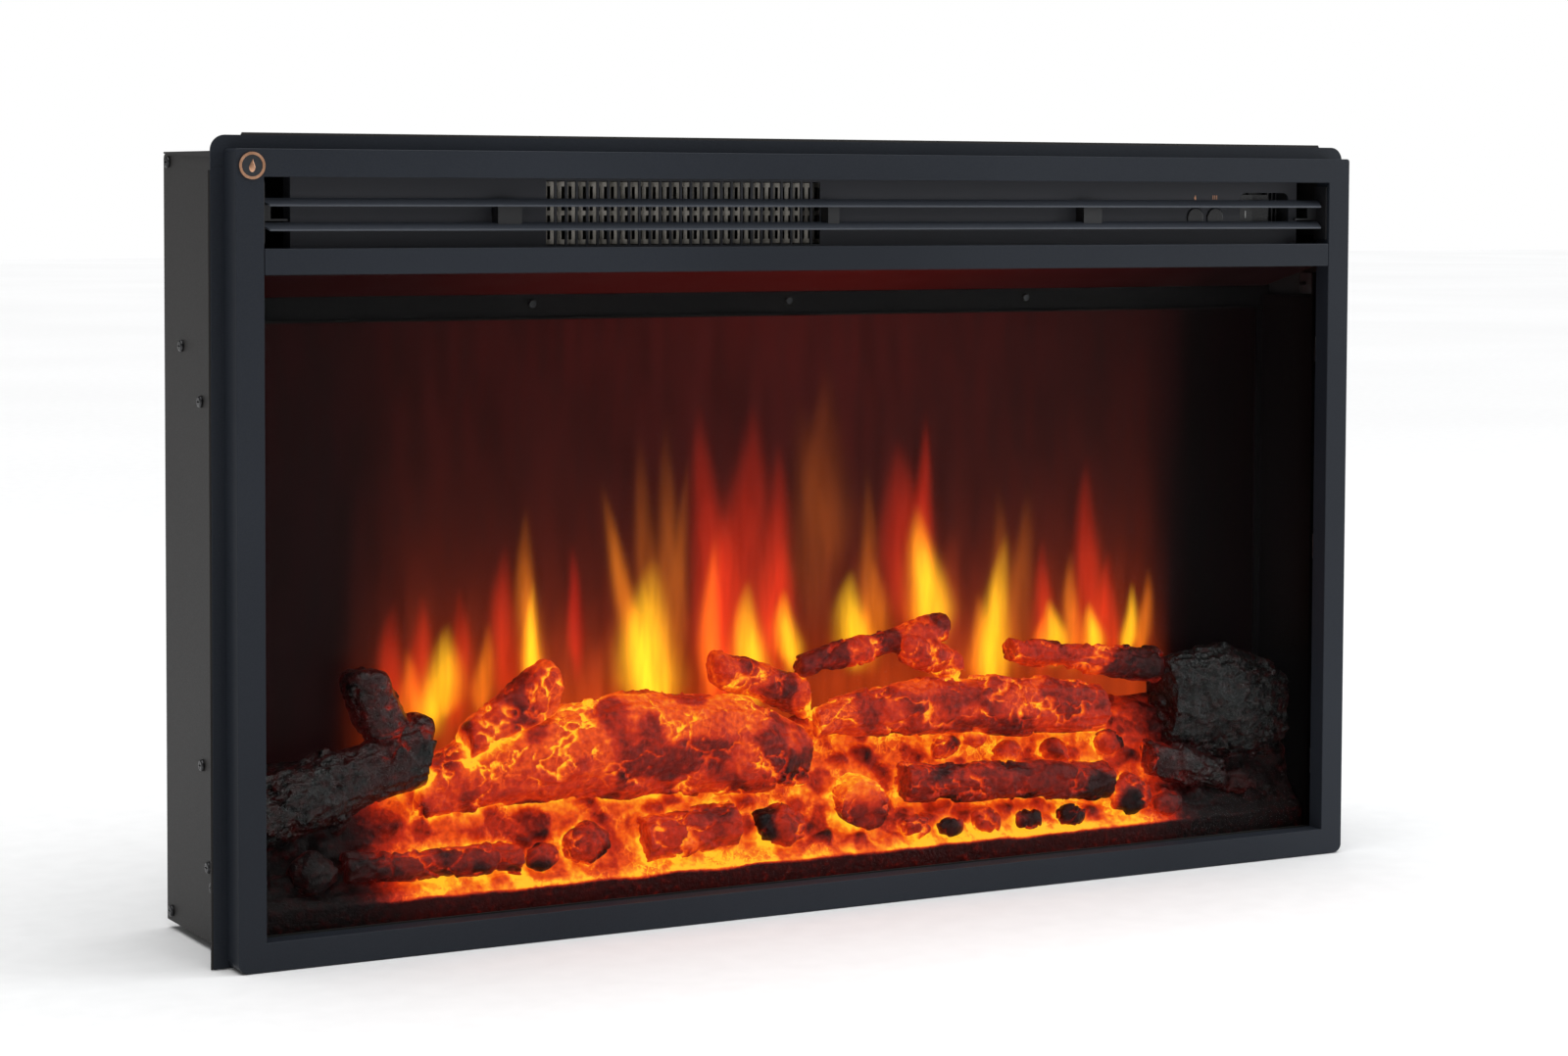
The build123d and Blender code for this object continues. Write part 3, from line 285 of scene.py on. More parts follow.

# %% [markdown]
# ## Bare metal
# Shelves, clips and brackets are zinc-plated, so they are grey with soft cloudy patches. Motor
# cans and shafts are smoother. The heater's folded fins are bare aluminium, but their colour is
# kept far darker than bare metal as painted shade, for their place deep behind the grille. Screws
# are blackened steel, a little worn on the rim. A grain drawn out along X gives the look of rolled
# sheet.

# %% Steel, zinc and aluminium
zinc = mottled(
    "zinc_steel", [(0.34, 0.34, 0.35), (0.48, 0.48, 0.49)], 0.020, 0.0020, 0.00001, (0.30, 0.46), 1.0)
rolled_steel = mottled(
    "duct_steel", [(0.40, 0.40, 0.40), (0.52, 0.52, 0.51)], 0.05, 0.0008, 0.00001, (0.28, 0.42), 1.0,
    (0.05, 1, 1))
motor_steel = mottled(
    "motor_steel", [(0.28, 0.28, 0.29), (0.36, 0.36, 0.37)], 0.02, 0.0005, 0.00001, (0.30, 0.40), 1.0)
# Painted shade: this aluminium is far darker than bare metal, for the fins' place deep behind the grille.
shaded_fin_metal = mottled(
    "fin_aluminium", [(0.16, 0.15, 0.13), (0.30, 0.28, 0.25)], 0.012, 0.0006, 0.00002, (0.25, 0.40), 1.0)
screw_metal = mottled(
    "black_screw", [(0.022, 0.022, 0.024), (0.060, 0.060, 0.062)], 0.004, 0.0004, 0.00001, (0.25, 0.38), 0.8)
paint(zinc, "frame_clips", "rear_brackets", "flicker_spindle", "blower_shaft", "head_shelf")
paint(rolled_steel, "heater_duct", "blower_scroll")
paint(motor_steel, "blower_motor", "spindle_motor", "thermal_cutout")
paint(shaded_fin_metal, "heater_core", "flicker_vanes")
paint(screw_metal, "screws")

# %% [markdown]
# ## Plastics and rubber
# Buttons and the rocker are satin black, touched every day, so their gloss is uneven. The switch
# body, gland and bushes are matt mouldings. The blower's rotor is milky, the boards are green.

# %% Moulded parts
button_plastic = mottled(
    "button_black", [(0.010, 0.010, 0.011), (0.015, 0.015, 0.016)], 0.006, 0.0005, 0.000003, (0.24, 0.32))
switch_plastic = mottled(
    "switch_black", [(0.014, 0.014, 0.015), (0.020, 0.020, 0.022)], 0.010, 0.0004, 0.000005, (0.36, 0.46))
rotor_plastic = mottled(
    "impeller_white", [(0.50, 0.49, 0.46), (0.62, 0.61, 0.58)], 0.02, 0.0008, 0.00001, (0.35, 0.50))
board_lacquer = mottled(
    "board_green", [(0.020, 0.110, 0.050), (0.035, 0.160, 0.080)], 0.01, 0.0012, 0.00001, (0.25, 0.40))
rubber = mottled(
    "seal_rubber", [(0.010, 0.010, 0.010), (0.018, 0.018, 0.018)], 0.01, 0.0007, 0.00003, (0.70, 0.85))
paint(button_plastic, "flame_button", "heater_button", "power_rocker")
paint(switch_plastic, "power_switch_body", "cable_gland", "terminal_block", "shaft_bushes", "board_spacers")
paint(rotor_plastic, "blower_impeller")
paint(board_lacquer, "control_board", "light_boards")
paint(rubber, "glass_seal")

# %% [markdown]
# ## The window
# The pane is clear tempered glass. Real panes show themselves only by a faint mirror image, so
# the surface is mostly see-through, and a little of a gloss shader is mixed in where the view
# glances along it. Faint smudges make the mirror image uneven.

# %% Clear glass
glass, glass_tree, glass_shader, glass_where = start_material("clear_glass")
glass_tree.nodes.remove(glass_shader)
clear = glass_tree.nodes.new("ShaderNodeBsdfTransparent")
clear.inputs["Color"].default_value = (0.97, 0.98, 0.975, 1.0)
mirror = glass_tree.nodes.new("ShaderNodeBsdfGlossy")
mirror.inputs["Color"].default_value = (0.42, 0.44, 0.47, 1.0)
smudge = add_noise(glass_tree, glass_where, 0.09, 4.0)
glass_tree.links.new(add_range(glass_tree, smudge, 0.35, 0.75, 0.02, 0.06), mirror.inputs["Roughness"])
glance = glass_tree.nodes.new("ShaderNodeLayerWeight")
glance.inputs["Blend"].default_value = 0.5
steep = add_math(glass_tree, "POWER", glance.outputs["Facing"], 5.0)
mirror_share = add_math(glass_tree, "ADD", add_math(glass_tree, "MULTIPLY", steep, 0.35), 0.0015)
pane = glass_tree.nodes.new("ShaderNodeMixShader")
glass_tree.links.new(mirror_share, pane.inputs["Fac"])
glass_tree.links.new(clear.outputs["BSDF"], pane.inputs[1])
glass_tree.links.new(mirror.outputs["BSDF"], pane.inputs[2])
glass_tree.links.new(pane.outputs["Shader"], glass_tree.nodes["Material Output"].inputs["Surface"])
paint(glass, "glass_panel")

# %% [markdown]
# ## The firebox lining
# The ceiling over the logs is black paint, but it is always seen in the light of the embers. A
# red that is strongest in the middle and dies out to both ends is that light. It depends on the
# place along X and on a slow noise, so it looks the same from every side.

# %% Ceiling lit by the embers
ceiling_low, ceiling_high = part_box("firebox_ceiling")
lit_paint, lit_tree, lit_shader, lit_where = start_material("firebox_ceiling_lit", specular=0.1)
lit_shader.inputs["Emission Strength"].default_value = 1.0
axes = lit_tree.nodes.new("ShaderNodeSeparateXYZ")
lit_tree.links.new(lit_where, axes.inputs["Vector"])
cloud = add_noise(lit_tree, lit_where, 0.12, 2.0)
along = add_math(lit_tree, "ADD", axes.outputs["X"], add_math(lit_tree, "MULTIPLY", cloud, 0.12))
share = add_range(lit_tree, along, ceiling_low.x, ceiling_high.x, 0.0, 1.0)
ceiling_red = [
    (0.00, (0.003, 0.0005, 0.0005)), (0.22, (0.012, 0.001, 0.001)), (0.42, (0.034, 0.0012, 0.001)),
    (0.62, (0.046, 0.0015, 0.001)), (0.80, (0.020, 0.0010, 0.001)), (1.00, (0.003, 0.0005, 0.0005))]
lit_tree.links.new(add_ramp(lit_tree, share, ceiling_red), lit_shader.inputs["Emission Color"])
lit_tree.links.new(
    add_ramp(lit_tree, cloud, [(0.4, (0.003, 0.001, 0.001)), (0.6, (0.005, 0.002, 0.002))]),
    lit_shader.inputs["Base Color"])
lit_tree.links.new(add_range(lit_tree, cloud, 0.3, 0.7, 0.45, 0.65), lit_shader.inputs["Roughness"])
paint(lit_paint, "firebox_ceiling")

# %% [markdown]
# ## The smoked screen
# Behind the logs stands a sheet of dark diffusing acrylic. Lamps and a turning spindle throw
# tongues of light on it from behind. The sheet itself is nearly black, satin and a little red.

# %% Smoked acrylic
smoked = mottled(
    "screen_smoke", [(0.006, 0.003, 0.003), (0.010, 0.004, 0.004)], 0.15, 0.0012, 0.00001, (0.35, 0.50),
    specular=0.1)
paint(smoked, "flame_screen")

# %% [markdown]
# ## The picture of flames
# The tongues are soft: no edge, a bright foot and a red, thin tip. They could be cut out as
# sheets, but sheets have hard edges. Instead a fine grid of faces lies on the screen, and each
# corner keeps a colour. Each tongue is a few numbers: where its foot and tip are, how wide it is,
# and how hot. The colours of all tongues are added up, as light adds up. At the end the grid is
# thickened into a thin closed film.

# %% Tongues of flame
# foot x, foot z, tip x, tip z, half width, kind. Millimetres.
tongues = [
    (-288, 130, -284, 208, 10, "red"), (-266, 135, -266, 212, 9, "red"), (-258, 128, -245, 190, 13, "core"),
    (-240, 130, -238, 214, 9, "red"), (-272, 130, -276, 176, 8, "orange"),
    (-222, 135, -219, 190, 7, "orange"),
    (-206, 140, -206, 240, 11, "red"), (-187, 140, -192, 262, 9, "orange"),
    (-187, 135, -186, 215, 6, "core"),
    (-153, 160, -159, 240, 6, "streak"), (-172, 130, -168, 200, 16, "haze"),
    (-135, 130, -132, 190, 16, "haze"),
    (-98, 128, -137, 276, 9, "orange"), (-98, 125, -102, 225, 20, "core"),
    (-92, 150, -110, 308, 10, "amber"),
    (-88, 150, -86, 318, 10, "amber"), (-80, 150, -72, 292, 6, "amber"), (-50, 140, -60, 325, 16, "red"),
    (-40, 140, -24, 325, 23, "red"), (-54, 140, -52, 240, 8, "orange"), (-24, 130, -25, 207, 12, "core"),
    (-8, 150, -2, 300, 13, "red"), (8, 150, 2, 200, 9, "core"), (4, 150, -2, 240, 12, "red"),
    (40, 230, 33, 352, 17, "plume"), (30, 190, 14, 330, 18, "plume"), (58, 150, 55, 210, 13, "core"),
    (68, 170, 69, 282, 8, "amber"), (74, 150, 72, 220, 12, "orange"), (116, 160, 88, 300, 22, "red"),
    (120, 160, 111, 252, 15, "core"), (116, 200, 114, 318, 8, "red"), (140, 140, 138, 240, 16, "haze"),
    (162, 130, 160, 190, 10, "orange"), (172, 120, 180, 228, 12, "core"), (180, 140, 175, 264, 10, "amber"),
    (192, 140, 199, 262, 11, "amber"), (214, 140, 215, 225, 9, "red"), (226, 140, 221, 182, 9, "core"),
    (216, 140, 214, 172, 8, "orange"), (252, 140, 252, 280, 13, "red"), (240, 140, 238, 215, 8, "orange"),
    (258, 140, 255, 178, 8, "core"), (272, 140, 270, 215, 9, "red"), (288, 140, 292, 190, 6, "core"),
    (300, 140, 306, 200, 7, "orange")]
tongue_colours = {
    "core": (1.15, 0.62, 0.015), "orange": (0.62, 0.15, 0.006), "amber": (0.22, 0.050, 0.003),
    "red": (0.44, 0.016, 0.003), "streak": (0.42, 0.010, 0.004), "haze": (0.12, 0.012, 0.002),
    "plume": (0.11, 0.022, 0.002)}
rail_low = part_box("screen_rail")[0]
screen_low, screen_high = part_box("flame_screen")
channel_wall = 0.0048
picture_gap = 0.0004
picture_left = screen_low.x + channel_wall
picture_right = screen_high.x - channel_wall
picture_low = 0.070
picture_high = rail_low.z - 0.0005
columns = 330
rows = 130
film_thickness = 0.0003
bpy.ops.object.select_all(action="DESELECT")
bpy.ops.mesh.primitive_grid_add(
    x_subdivisions=columns, y_subdivisions=rows, size=1.0, rotation=(math.pi / 2, 0, 0))
flames = bpy.context.object
flames.name = "flame_picture"
flames.scale = (picture_right - picture_left, picture_high - picture_low, 1.0)
picture_x = (picture_left + picture_right) / 2
picture_z = (picture_low + picture_high) / 2
flames.location = (picture_x, screen_low.y - picture_gap, picture_z)
bpy.ops.object.transform_apply(location=True, rotation=True, scale=True)
places = np.zeros(len(flames.data.vertices) * 3)
flames.data.vertices.foreach_get("co", places)
places = places.reshape(-1, 3) * 1000.0
x, z = places[:, 0], places[:, 2]


def soft_step(value, low, high):
    """0 below low, 1 above high, and smooth between."""
    share = np.clip((value - low) / (high - low), 0.0, 1.0)
    return share * share * (3.0 - 2.0 * share)


middle_share = np.exp(-((x + 10.0) / 230.0) ** 2)
light = np.zeros((len(x), 3))
light += np.outer(0.55 + 0.45 * middle_share, (0.011, 0.0022, 0.0022))
light += np.outer(middle_share * soft_step(z, 200.0, 400.0), (0.030, 0.0008, 0.0004))
foot_level = 135.0
bright_reach = 38.0
faint_reach = 95.0
over_foot = np.maximum(z - foot_level, 0.0)
foot_glow = soft_step(x, -330.0, -260.0) * (1.0 - soft_step(x, 290.0, 330.0))
light += np.outer(foot_glow * np.exp(-over_foot / bright_reach), (0.34, 0.032, 0.002))
light += np.outer(foot_glow * np.exp(-over_foot / faint_reach), (0.085, 0.005, 0.001))
light *= (1.0 - 0.9 * soft_step(x, 318.0, 345.0))[:, None]
for foot_x, foot_z, tip_x, tip_z, half, kind in tongues:
    rise = (z - foot_z) / (tip_z - foot_z)
    inside = np.clip(rise, 0.0, 1.0)
    spine = foot_x + (tip_x - foot_x) * inside + 0.18 * half * np.sin(inside * 5.0 + foot_x)
    width = half * (1.0 - 0.80 * inside ** 1.6) * (0.55 + 0.45 * soft_step(rise, -0.1, 0.25))
    across = np.exp(-(np.abs(x - spine) / width) ** 2.4)
    fade = soft_step(rise, -0.25, 0.12) * (1.0 - soft_step(rise, 0.35, 1.04)) ** 0.8
    light += np.outer(across * fade, tongue_colours[kind])
light = np.minimum(light, 1.6)
colour = flames.data.color_attributes.new("flame_colour", "FLOAT_COLOR", "POINT")
colour.data.foreach_set("color", np.hstack([light, np.ones((len(x), 1))]).astype(np.float32).ravel())
film = flames.modifiers.new("film", "SOLIDIFY")
film.thickness = film_thickness
film.offset = -1.0
bpy.ops.object.modifier_apply(modifier="film")
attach(flames, "root")
print("flame picture:", len(flames.data.polygons), "faces,", len(tongues), "tongues")

# %% Light of the flames
flame_light, flame_tree, flame_shader, flame_where = start_material("flame_light", specular=0.05)
kept = flame_tree.nodes.new("ShaderNodeAttribute")
kept.attribute_name = "flame_colour"
drawn_out = add_noise(flame_tree, flame_where, 0.010, 3.0, (1.0, 1.0, 0.16))
flicker = add_ramp(flame_tree, drawn_out, [(0.30, (0.72, 0.66, 0.60)), (0.70, (1.15, 1.20, 1.25))])
tinted = flame_tree.nodes.new("ShaderNodeMixRGB")
tinted.blend_type = "MULTIPLY"
tinted.inputs["Fac"].default_value = 1.0
flame_tree.links.new(kept.outputs["Color"], tinted.inputs["Color1"])
flame_tree.links.new(flicker, tinted.inputs["Color2"])
flame_tree.links.new(tinted.outputs["Color"], flame_shader.inputs["Emission Color"])
flame_shader.inputs["Emission Strength"].default_value = 1.0
flame_tree.links.new(
    add_ramp(flame_tree, drawn_out, [(0.4, (0.0015, 0.001, 0.001)), (0.6, (0.0025, 0.001, 0.001))]),
    flame_shader.inputs["Base Color"])
flame_gloss = add_range(flame_tree, drawn_out, 0.3, 0.7, 0.40, 0.55)
flame_tree.links.new(flame_gloss, flame_shader.inputs["Roughness"])
flame_light.cycles.emission_sampling = "NONE"
flames.data.materials.append(flame_light)
print("flame material made")

# %% [markdown]
# ## Glowing resin
# Logs and coals are cast in clear resin, painted with char, and lit from underneath. Where the
# paint is thick it is black, and where it is thin or cracked the light comes through, first red,
# then orange, then yellow. So one number for each corner, its heat, drives a painted glow: an
# emission colour stands in for that light.

# %% Char and ember finish
heat_glow = [
    (0.00, (0.000, 0.000, 0.000)), (0.20, (0.022, 0.0008, 0.0005)), (0.40, (0.160, 0.006, 0.002)),
    (0.60, (0.500, 0.020, 0.003)), (0.76, (0.850, 0.085, 0.005)), (0.90, (1.000, 0.270, 0.010)),
    (1.00, (1.100, 0.560, 0.020))]


def glowing_resin(name, char, bare, roughness, specular):
    """Painted resin whose heat attribute decides how much light comes through."""
    material, tree, shader, where = start_material(name, specular=specular)
    stored = tree.nodes.new("ShaderNodeAttribute")
    stored.attribute_name = "ember_heat"
    grain = add_noise(tree, where, 0.0045, 5.0)
    soot = add_noise(tree, where, 0.0016, 3.0)
    wobble = add_math(tree, "MULTIPLY", add_math(tree, "SUBTRACT", grain, 0.5), 0.50)
    flakes = tree.nodes.new("ShaderNodeTexVoronoi")
    flakes.feature = "DISTANCE_TO_EDGE"
    flakes.inputs["Scale"].default_value = 150.0
    bent = tree.nodes.new("ShaderNodeMixRGB")
    bent.blend_type = "ADD"
    bent.inputs["Fac"].default_value = 0.012
    tree.links.new(where, bent.inputs["Color1"])
    tree.links.new(grain, bent.inputs["Color2"])
    tree.links.new(bent.outputs["Color"], flakes.inputs["Vector"])
    hair = add_range(tree, flakes.outputs["Distance"], 0.0, 0.09, 0.22, 0.0)
    open_patch = add_range(tree, add_noise(tree, where, 0.018, 1.0), 0.50, 0.62, 0.0, 1.0)
    hair = add_math(tree, "MULTIPLY", add_math(tree, "MULTIPLY", hair, open_patch), stored.outputs["Fac"])
    heat = add_math(tree, "ADD", add_math(tree, "ADD", stored.outputs["Fac"], wobble), hair)
    # Painted glow: the emission colour follows the heat number.
    tree.links.new(add_ramp(tree, heat, heat_glow), shader.inputs["Emission Color"])
    shader.inputs["Emission Strength"].default_value = 1.0
    tree.links.new(add_ramp(tree, heat, [(0.25, char), (0.75, bare)]), shader.inputs["Base Color"])
    tree.links.new(add_range(tree, soot, 0.3, 0.7, *roughness), shader.inputs["Roughness"])
    add_bump(tree, shader, add_math(tree, "ADD", grain, add_math(tree, "MULTIPLY", soot, 0.5)), 0.0012)
    material.cycles.emission_sampling = "NONE"
    return material


log_resin = glowing_resin("log_resin", (0.006, 0.003, 0.003), (0.07, 0.006, 0.003), (0.34, 0.58), 0.18)
charred_resin = glowing_resin(
    "charred_resin", (0.003, 0.003, 0.003), (0.06, 0.006, 0.003), (0.20, 0.44), 0.30)
ember_resin = glowing_resin("ember_resin", (0.005, 0.002, 0.002), (0.08, 0.007, 0.003), (0.40, 0.65), 0.12)
print("resin finishes:", log_resin.name, charred_resin.name, ember_resin.name)

# %% [markdown]
# ## Carving the logs
# Each log starts as a copy of its plain solid. Its loose triangles are merged, a voxel remesh
# covers it with an even net, and a smoothing rounds its corners. Then every corner of the net is
# moved along its own normal: slow lumps bend the log, plates of bark stand at different heights,
# and cracks run between the plates. A texture could fake this, but real cracks catch real light.
# The same steps store the heat: cracks, gaps and whatever lies near another log glow.

# %% Where the fire is hot
log_names = [
    "log_left", "log_centre_left", "log_right", "log_front_left", "log_short_front", "log_round_end",
    "log_front_right", "log_far_right", "log_stub_top", "log_back_stub", "log_top", "log_upper_right",
    "stump_right", "coals"]


def node_tree_of(names):
    """A search tree over the faces of some CAD nodes."""
    corners = []
    faces = []
    for name in names:
        start = len(corners)
        corners += [tuple(vertex.co) for vertex in nodes[name].data.vertices]
        faces += [[start + index for index in face.vertices] for face in nodes[name].data.polygons]
    return BVHTree.FromPolygons(corners, faces)


def clamp_step(value, low, high):
    """soft_step for one number."""
    share = min(max((value - low) / (high - low), 0.0), 1.0)
    return share * share * (3.0 - 2.0 * share)


def fire_share(x):
    """How much of the fire's light there is at a place along X: none at either end."""
    return clamp_step(x, -0.345, -0.275) * (1.0 - clamp_step(x, 0.250, 0.325))


print("share of light at the ends and the middle:", fire_share(-0.4), fire_share(0.0), fire_share(0.4))


# %% Bark
# Heights and sizes in metres.
lump_height = 0.0034
lump_size = 0.040
knob_height = 0.0018
knob_size = 0.014
ridge_height = 0.0010
ridge_length = 0.020
ridge_width = 0.004
grit_height = 0.0007
grit_size = 0.0035
cracked_region = 0.026
plate_step = 0.0016
crack_depth = 0.0024


def bark(spot, seed, plate):
    """Height of the bark in metres and how open a crack is, at a spot, for plates of a size."""
    long_spot = Vector((spot.x / 1.5, spot.y, spot.z))
    drift = noise.noise_vector(spot / 0.012 + seed) * 0.45 + noise.noise_vector(spot / 0.004) * 0.12
    distances, points = noise.voronoi(long_spot / plate + drift + seed)
    edge = distances[1] - distances[0]
    crack = 1.0 - clamp_step(edge, 0.0, 0.10)
    crack *= clamp_step(noise.noise(spot / cracked_region - seed), -0.10, 0.15)
    step = noise.cell(points[0] * 7.0)
    lumps = lump_height * noise.noise(spot / lump_size + seed)
    lumps += knob_height * noise.noise(spot / knob_size - seed)
    along_grain = Vector((spot.x / ridge_length, spot.y / ridge_width, spot.z / ridge_width))
    ridges = ridge_height * noise.noise(along_grain)
    grit = grit_height * noise.noise(spot / grit_size)
    return lumps + ridges + grit + plate_step * (step - 0.5) - crack_depth * crack, crack


# Heat lost for each metre that the bark stands out, and heat gained in a crack and near a log. The
# gain near a log is a painted pool of light in the gaps, and the share kept at the ends of the set
# is painted shade.
raised_char = 45.0
contact_glow = 0.50
contact_reach = 0.0032
crack_heat = 0.34
hottest = 1.05
dim_end_share = 0.25
patch_size = 0.026
swell_rise = 0.020
net_size = 0.0011
back_of_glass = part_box("glass_panel")[1].y
glass_clearance = 0.0012


def carve(name, level, top_light_gain, char, plate, seed_number, finish, swell=0.0, swell_from=0.0):
    """A log carved from its CAD solid. Level is its heat, and char is how patchy its paint is.

    Swell is how much thicker it grows than its plain solid, above the height swell_from.
    """
    bpy.ops.object.select_all(action="DESELECT")
    piece = bpy.data.objects.new(name + "_carved", nodes[name].data.copy())
    scene.collection.objects.link(piece)
    piece.select_set(True)
    bpy.context.view_layer.objects.active = piece
    bpy.ops.object.mode_set(mode="EDIT")
    bpy.ops.mesh.select_all(action="SELECT")
    bpy.ops.mesh.remove_doubles(threshold=0.00001)
    bpy.ops.object.mode_set(mode="OBJECT")
    net = piece.modifiers.new("net", "REMESH")
    net.mode = "VOXEL"
    net.voxel_size = net_size
    bpy.ops.object.modifier_apply(modifier="net")
    rounder = piece.modifiers.new("rounder", "SMOOTH")
    rounder.factor = 0.5
    rounder.iterations = 14
    bpy.ops.object.modifier_apply(modifier="rounder")
    others = node_tree_of([other for other in log_names + ["ember_bed"] if other != name])
    low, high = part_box(name)
    seed = Vector((seed_number * 3.1, seed_number * 1.7, seed_number * 2.3))
    heats = []
    moves = []
    for vertex in piece.data.vertices:
        spot = vertex.co
        height, crack = bark(spot, seed, plate)
        gap = others.find_nearest(spot)[3]
        share = fire_share(spot.x)
        contact = math.exp(-gap / contact_reach)
        rise = (spot.z - low.z) / (high.z - low.z)
        patch = clamp_step(noise.noise(spot / patch_size + seed * 2.0), 0.00, 0.30)
        # The top of a log glows more and its underside less: painted light from above.
        heat = level * (1.0 - char * patch) + top_light_gain * (rise - 0.5)
        heat -= raised_char * max(height, 0.0)
        # Towards both ends of the set the glow falls to a share: painted shade where the fire's light is
        # weak.
        heat = max(heat, 0.0) * (dim_end_share + (1.0 - dim_end_share) * share)
        # Near another log the glow rises: a painted pool of light in the gap.
        heat += share * (contact_glow * contact + crack_heat * crack)
        heats.append(min(heat, hottest))
        thicker = swell * clamp_step(spot.z, swell_from, swell_from + swell_rise)
        moves.append(vertex.normal * (height + thicker))
    for vertex, move in zip(piece.data.vertices, moves):
        vertex.co = vertex.co + move
        vertex.co.y = max(vertex.co.y, back_of_glass + glass_clearance)
    stored = piece.data.attributes.new("ember_heat", "FLOAT", "POINT")
    stored.data.foreach_set("value", np.array(heats, np.float32))
    piece.data.shade_smooth()
    piece.data.materials.clear()
    piece.data.materials.append(finish)
    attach(piece, "root")
    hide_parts(name)
    print(piece.name, len(piece.data.polygons), "faces, mean heat", round(sum(heats) / len(heats), 2))


# %% Logs of the set
# Node, heat, extra glow at the top as painted light, char, plate size, seed, finish, swell and its foot.
carve("log_left", 0.24, 0.10, 0.8, 0.022, 1, charred_resin, 0.0065, 0.112)
carve("log_centre_left", 0.66, 0.26, 0.38, 0.024, 2, log_resin)
carve("log_right", 0.62, 0.14, 0.30, 0.018, 3, log_resin)
carve("log_front_left", 0.42, 0.25, 0.5, 0.014, 4, log_resin)
carve("log_short_front", 0.54, 0.15, 0.4, 0.016, 5, log_resin)
carve("log_round_end", 0.62, 0.60, 0.2, 0.014, 6, log_resin)
carve("log_front_right", 0.40, 0.15, 0.6, 0.014, 7, log_resin)
carve("log_far_right", 0.40, 0.15, 0.5, 0.018, 8, charred_resin)
carve("log_stub_top", 0.62, 0.15, 0.5, 0.020, 9, log_resin, 0.0045)
carve("log_back_stub", 0.60, 0.10, 0.4, 0.012, 10, log_resin, 0.003)
carve("log_top", 0.58, 0.10, 0.45, 0.012, 11, log_resin, 0.003)
carve("log_upper_right", 0.52, 0.05, 0.45, 0.016, 12, log_resin)
carve("stump_right", 0.05, 0.00, 0.5, 0.010, 13, charred_resin)
carve("coals", 0.48, 0.10, 0.8, 0.010, 14, log_resin, 0.0022)
print("logs carved:", len(log_names))

# %% [markdown]
# ## The ember bed
# The bed is one moulding: a dark skirt at the front, then a lumpy slope that rises to the back
# under the logs. A flat grid is bent over the profile of the moulding, and then lumps and pebbles
# are raised on it, but not on the skirt. It glows most where it is hidden: close to the logs. The
# glow is painted light, an emission colour, and the extra glow near the logs and along the front
# edge is a painted pool of light.

# %% Bed surface
bed_low, bed_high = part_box("ember_bed")
lug_reach = 0.0086
bed_left = bed_low.x + lug_reach
bed_right = bed_high.x - lug_reach
front_y = bed_low.y
profile = [
    (front_y, bed_low.z), (front_y, 0.0255), (front_y + 0.0031, 0.0285), (front_y + 0.0081, 0.0320),
    (front_y + 0.0181, 0.0450), (front_y + 0.0281, 0.0750), (front_y + 0.0381, 0.0990),
    (bed_high.y, bed_high.z)]
runs = [math.dist(first, second) for first, second in zip(profile, profile[1:])]
profile_length = sum(runs)


def on_profile(distance):
    """The (y, z) point and the outward normal at a distance along the profile."""
    for first, second, run in zip(profile, profile[1:], runs):
        if distance <= run or second is profile[-1]:
            share = distance / run
            y = first[0] + (second[0] - first[0]) * share
            z = first[1] + (second[1] - first[1]) * share
            return y, z, Vector((0.0, first[1] - second[1], second[0] - first[0])).normalized()
        distance -= run


bpy.ops.object.select_all(action="DESELECT")
bed_columns = 480
bed_rows = 96
bpy.ops.mesh.primitive_grid_add(x_subdivisions=bed_columns, y_subdivisions=bed_rows, size=1.0)
bed = bpy.context.object
bed.name = "ember_bed_carved"
bed_neighbours = node_tree_of(log_names)
skirt = runs[0] - 0.0025
pebble_height = 0.0055
pebble_size = 0.015
bed_level = 0.63
pebble_dimming = 0.32
patch_cooling = 0.20
bed_contact_glow = 0.40
bed_contact_reach = 0.0065
front_line_glow = 0.34
skirt_heat = 0.17
bed_thickness = 0.0016
bed_heat = []
for vertex in bed.data.vertices:
    along_x = bed_left + (vertex.co.x + 0.5) * (bed_right - bed_left)
    distance = (vertex.co.y + 0.5) * profile_length
    y, z, out = on_profile(distance)
    spot = Vector((along_x, y, z))
    edge_wave = 0.0020 * noise.noise(Vector((along_x / 0.030, 3.0, 0.0)))
    above = clamp_step(distance - skirt - edge_wave, 0.0, 0.0030)
    bend = noise.noise_vector(spot / 0.016) * 0.30
    pebble = noise.voronoi(Vector((spot.x / 1.5, spot.y, spot.z)) / pebble_size + bend)[0][0]
    mound = 1.0 - clamp_step(pebble, 0.10, 0.62)
    reach = clamp_step(distance, runs[0], runs[0] + 0.016)
    height = above * (0.0018 * noise.noise(spot / 0.022) + 0.0006 * noise.noise(spot / 0.004))
    height = min(height, 0.0002 + 0.0020 * reach) + pebble_height * mound * reach
    gap = bed_neighbours.find_nearest(spot)[3]
    contact = math.exp(-gap / bed_contact_reach)
    patch = clamp_step(noise.noise(spot / 0.016 + Vector((5.0, 0.0, 2.0))), 0.0, 0.30)
    front_line = math.exp(-abs(distance - skirt - 0.003) / 0.006)
    # Pebble tops and slow noise patches glow less.
    heat = bed_level - pebble_dimming * mound * reach - patch_cooling * patch
    # Near the logs and along the front edge the glow rises: painted pools of light.
    heat = heat + bed_contact_glow * contact + front_line_glow * front_line
    lit = fire_share(along_x)
    heat = heat * above * lit + skirt_heat * (1.0 - above) * lit
    bed_heat.append(heat)
    vertex.co = spot + out * height
bed_stored = bed.data.attributes.new("ember_heat", "FLOAT", "POINT")
bed_stored.data.foreach_set("value", np.array(bed_heat, np.float32))
bed.data.shade_smooth()
bed.data.materials.append(ember_resin)
thick = bed.modifiers.new("thick", "SOLIDIFY")
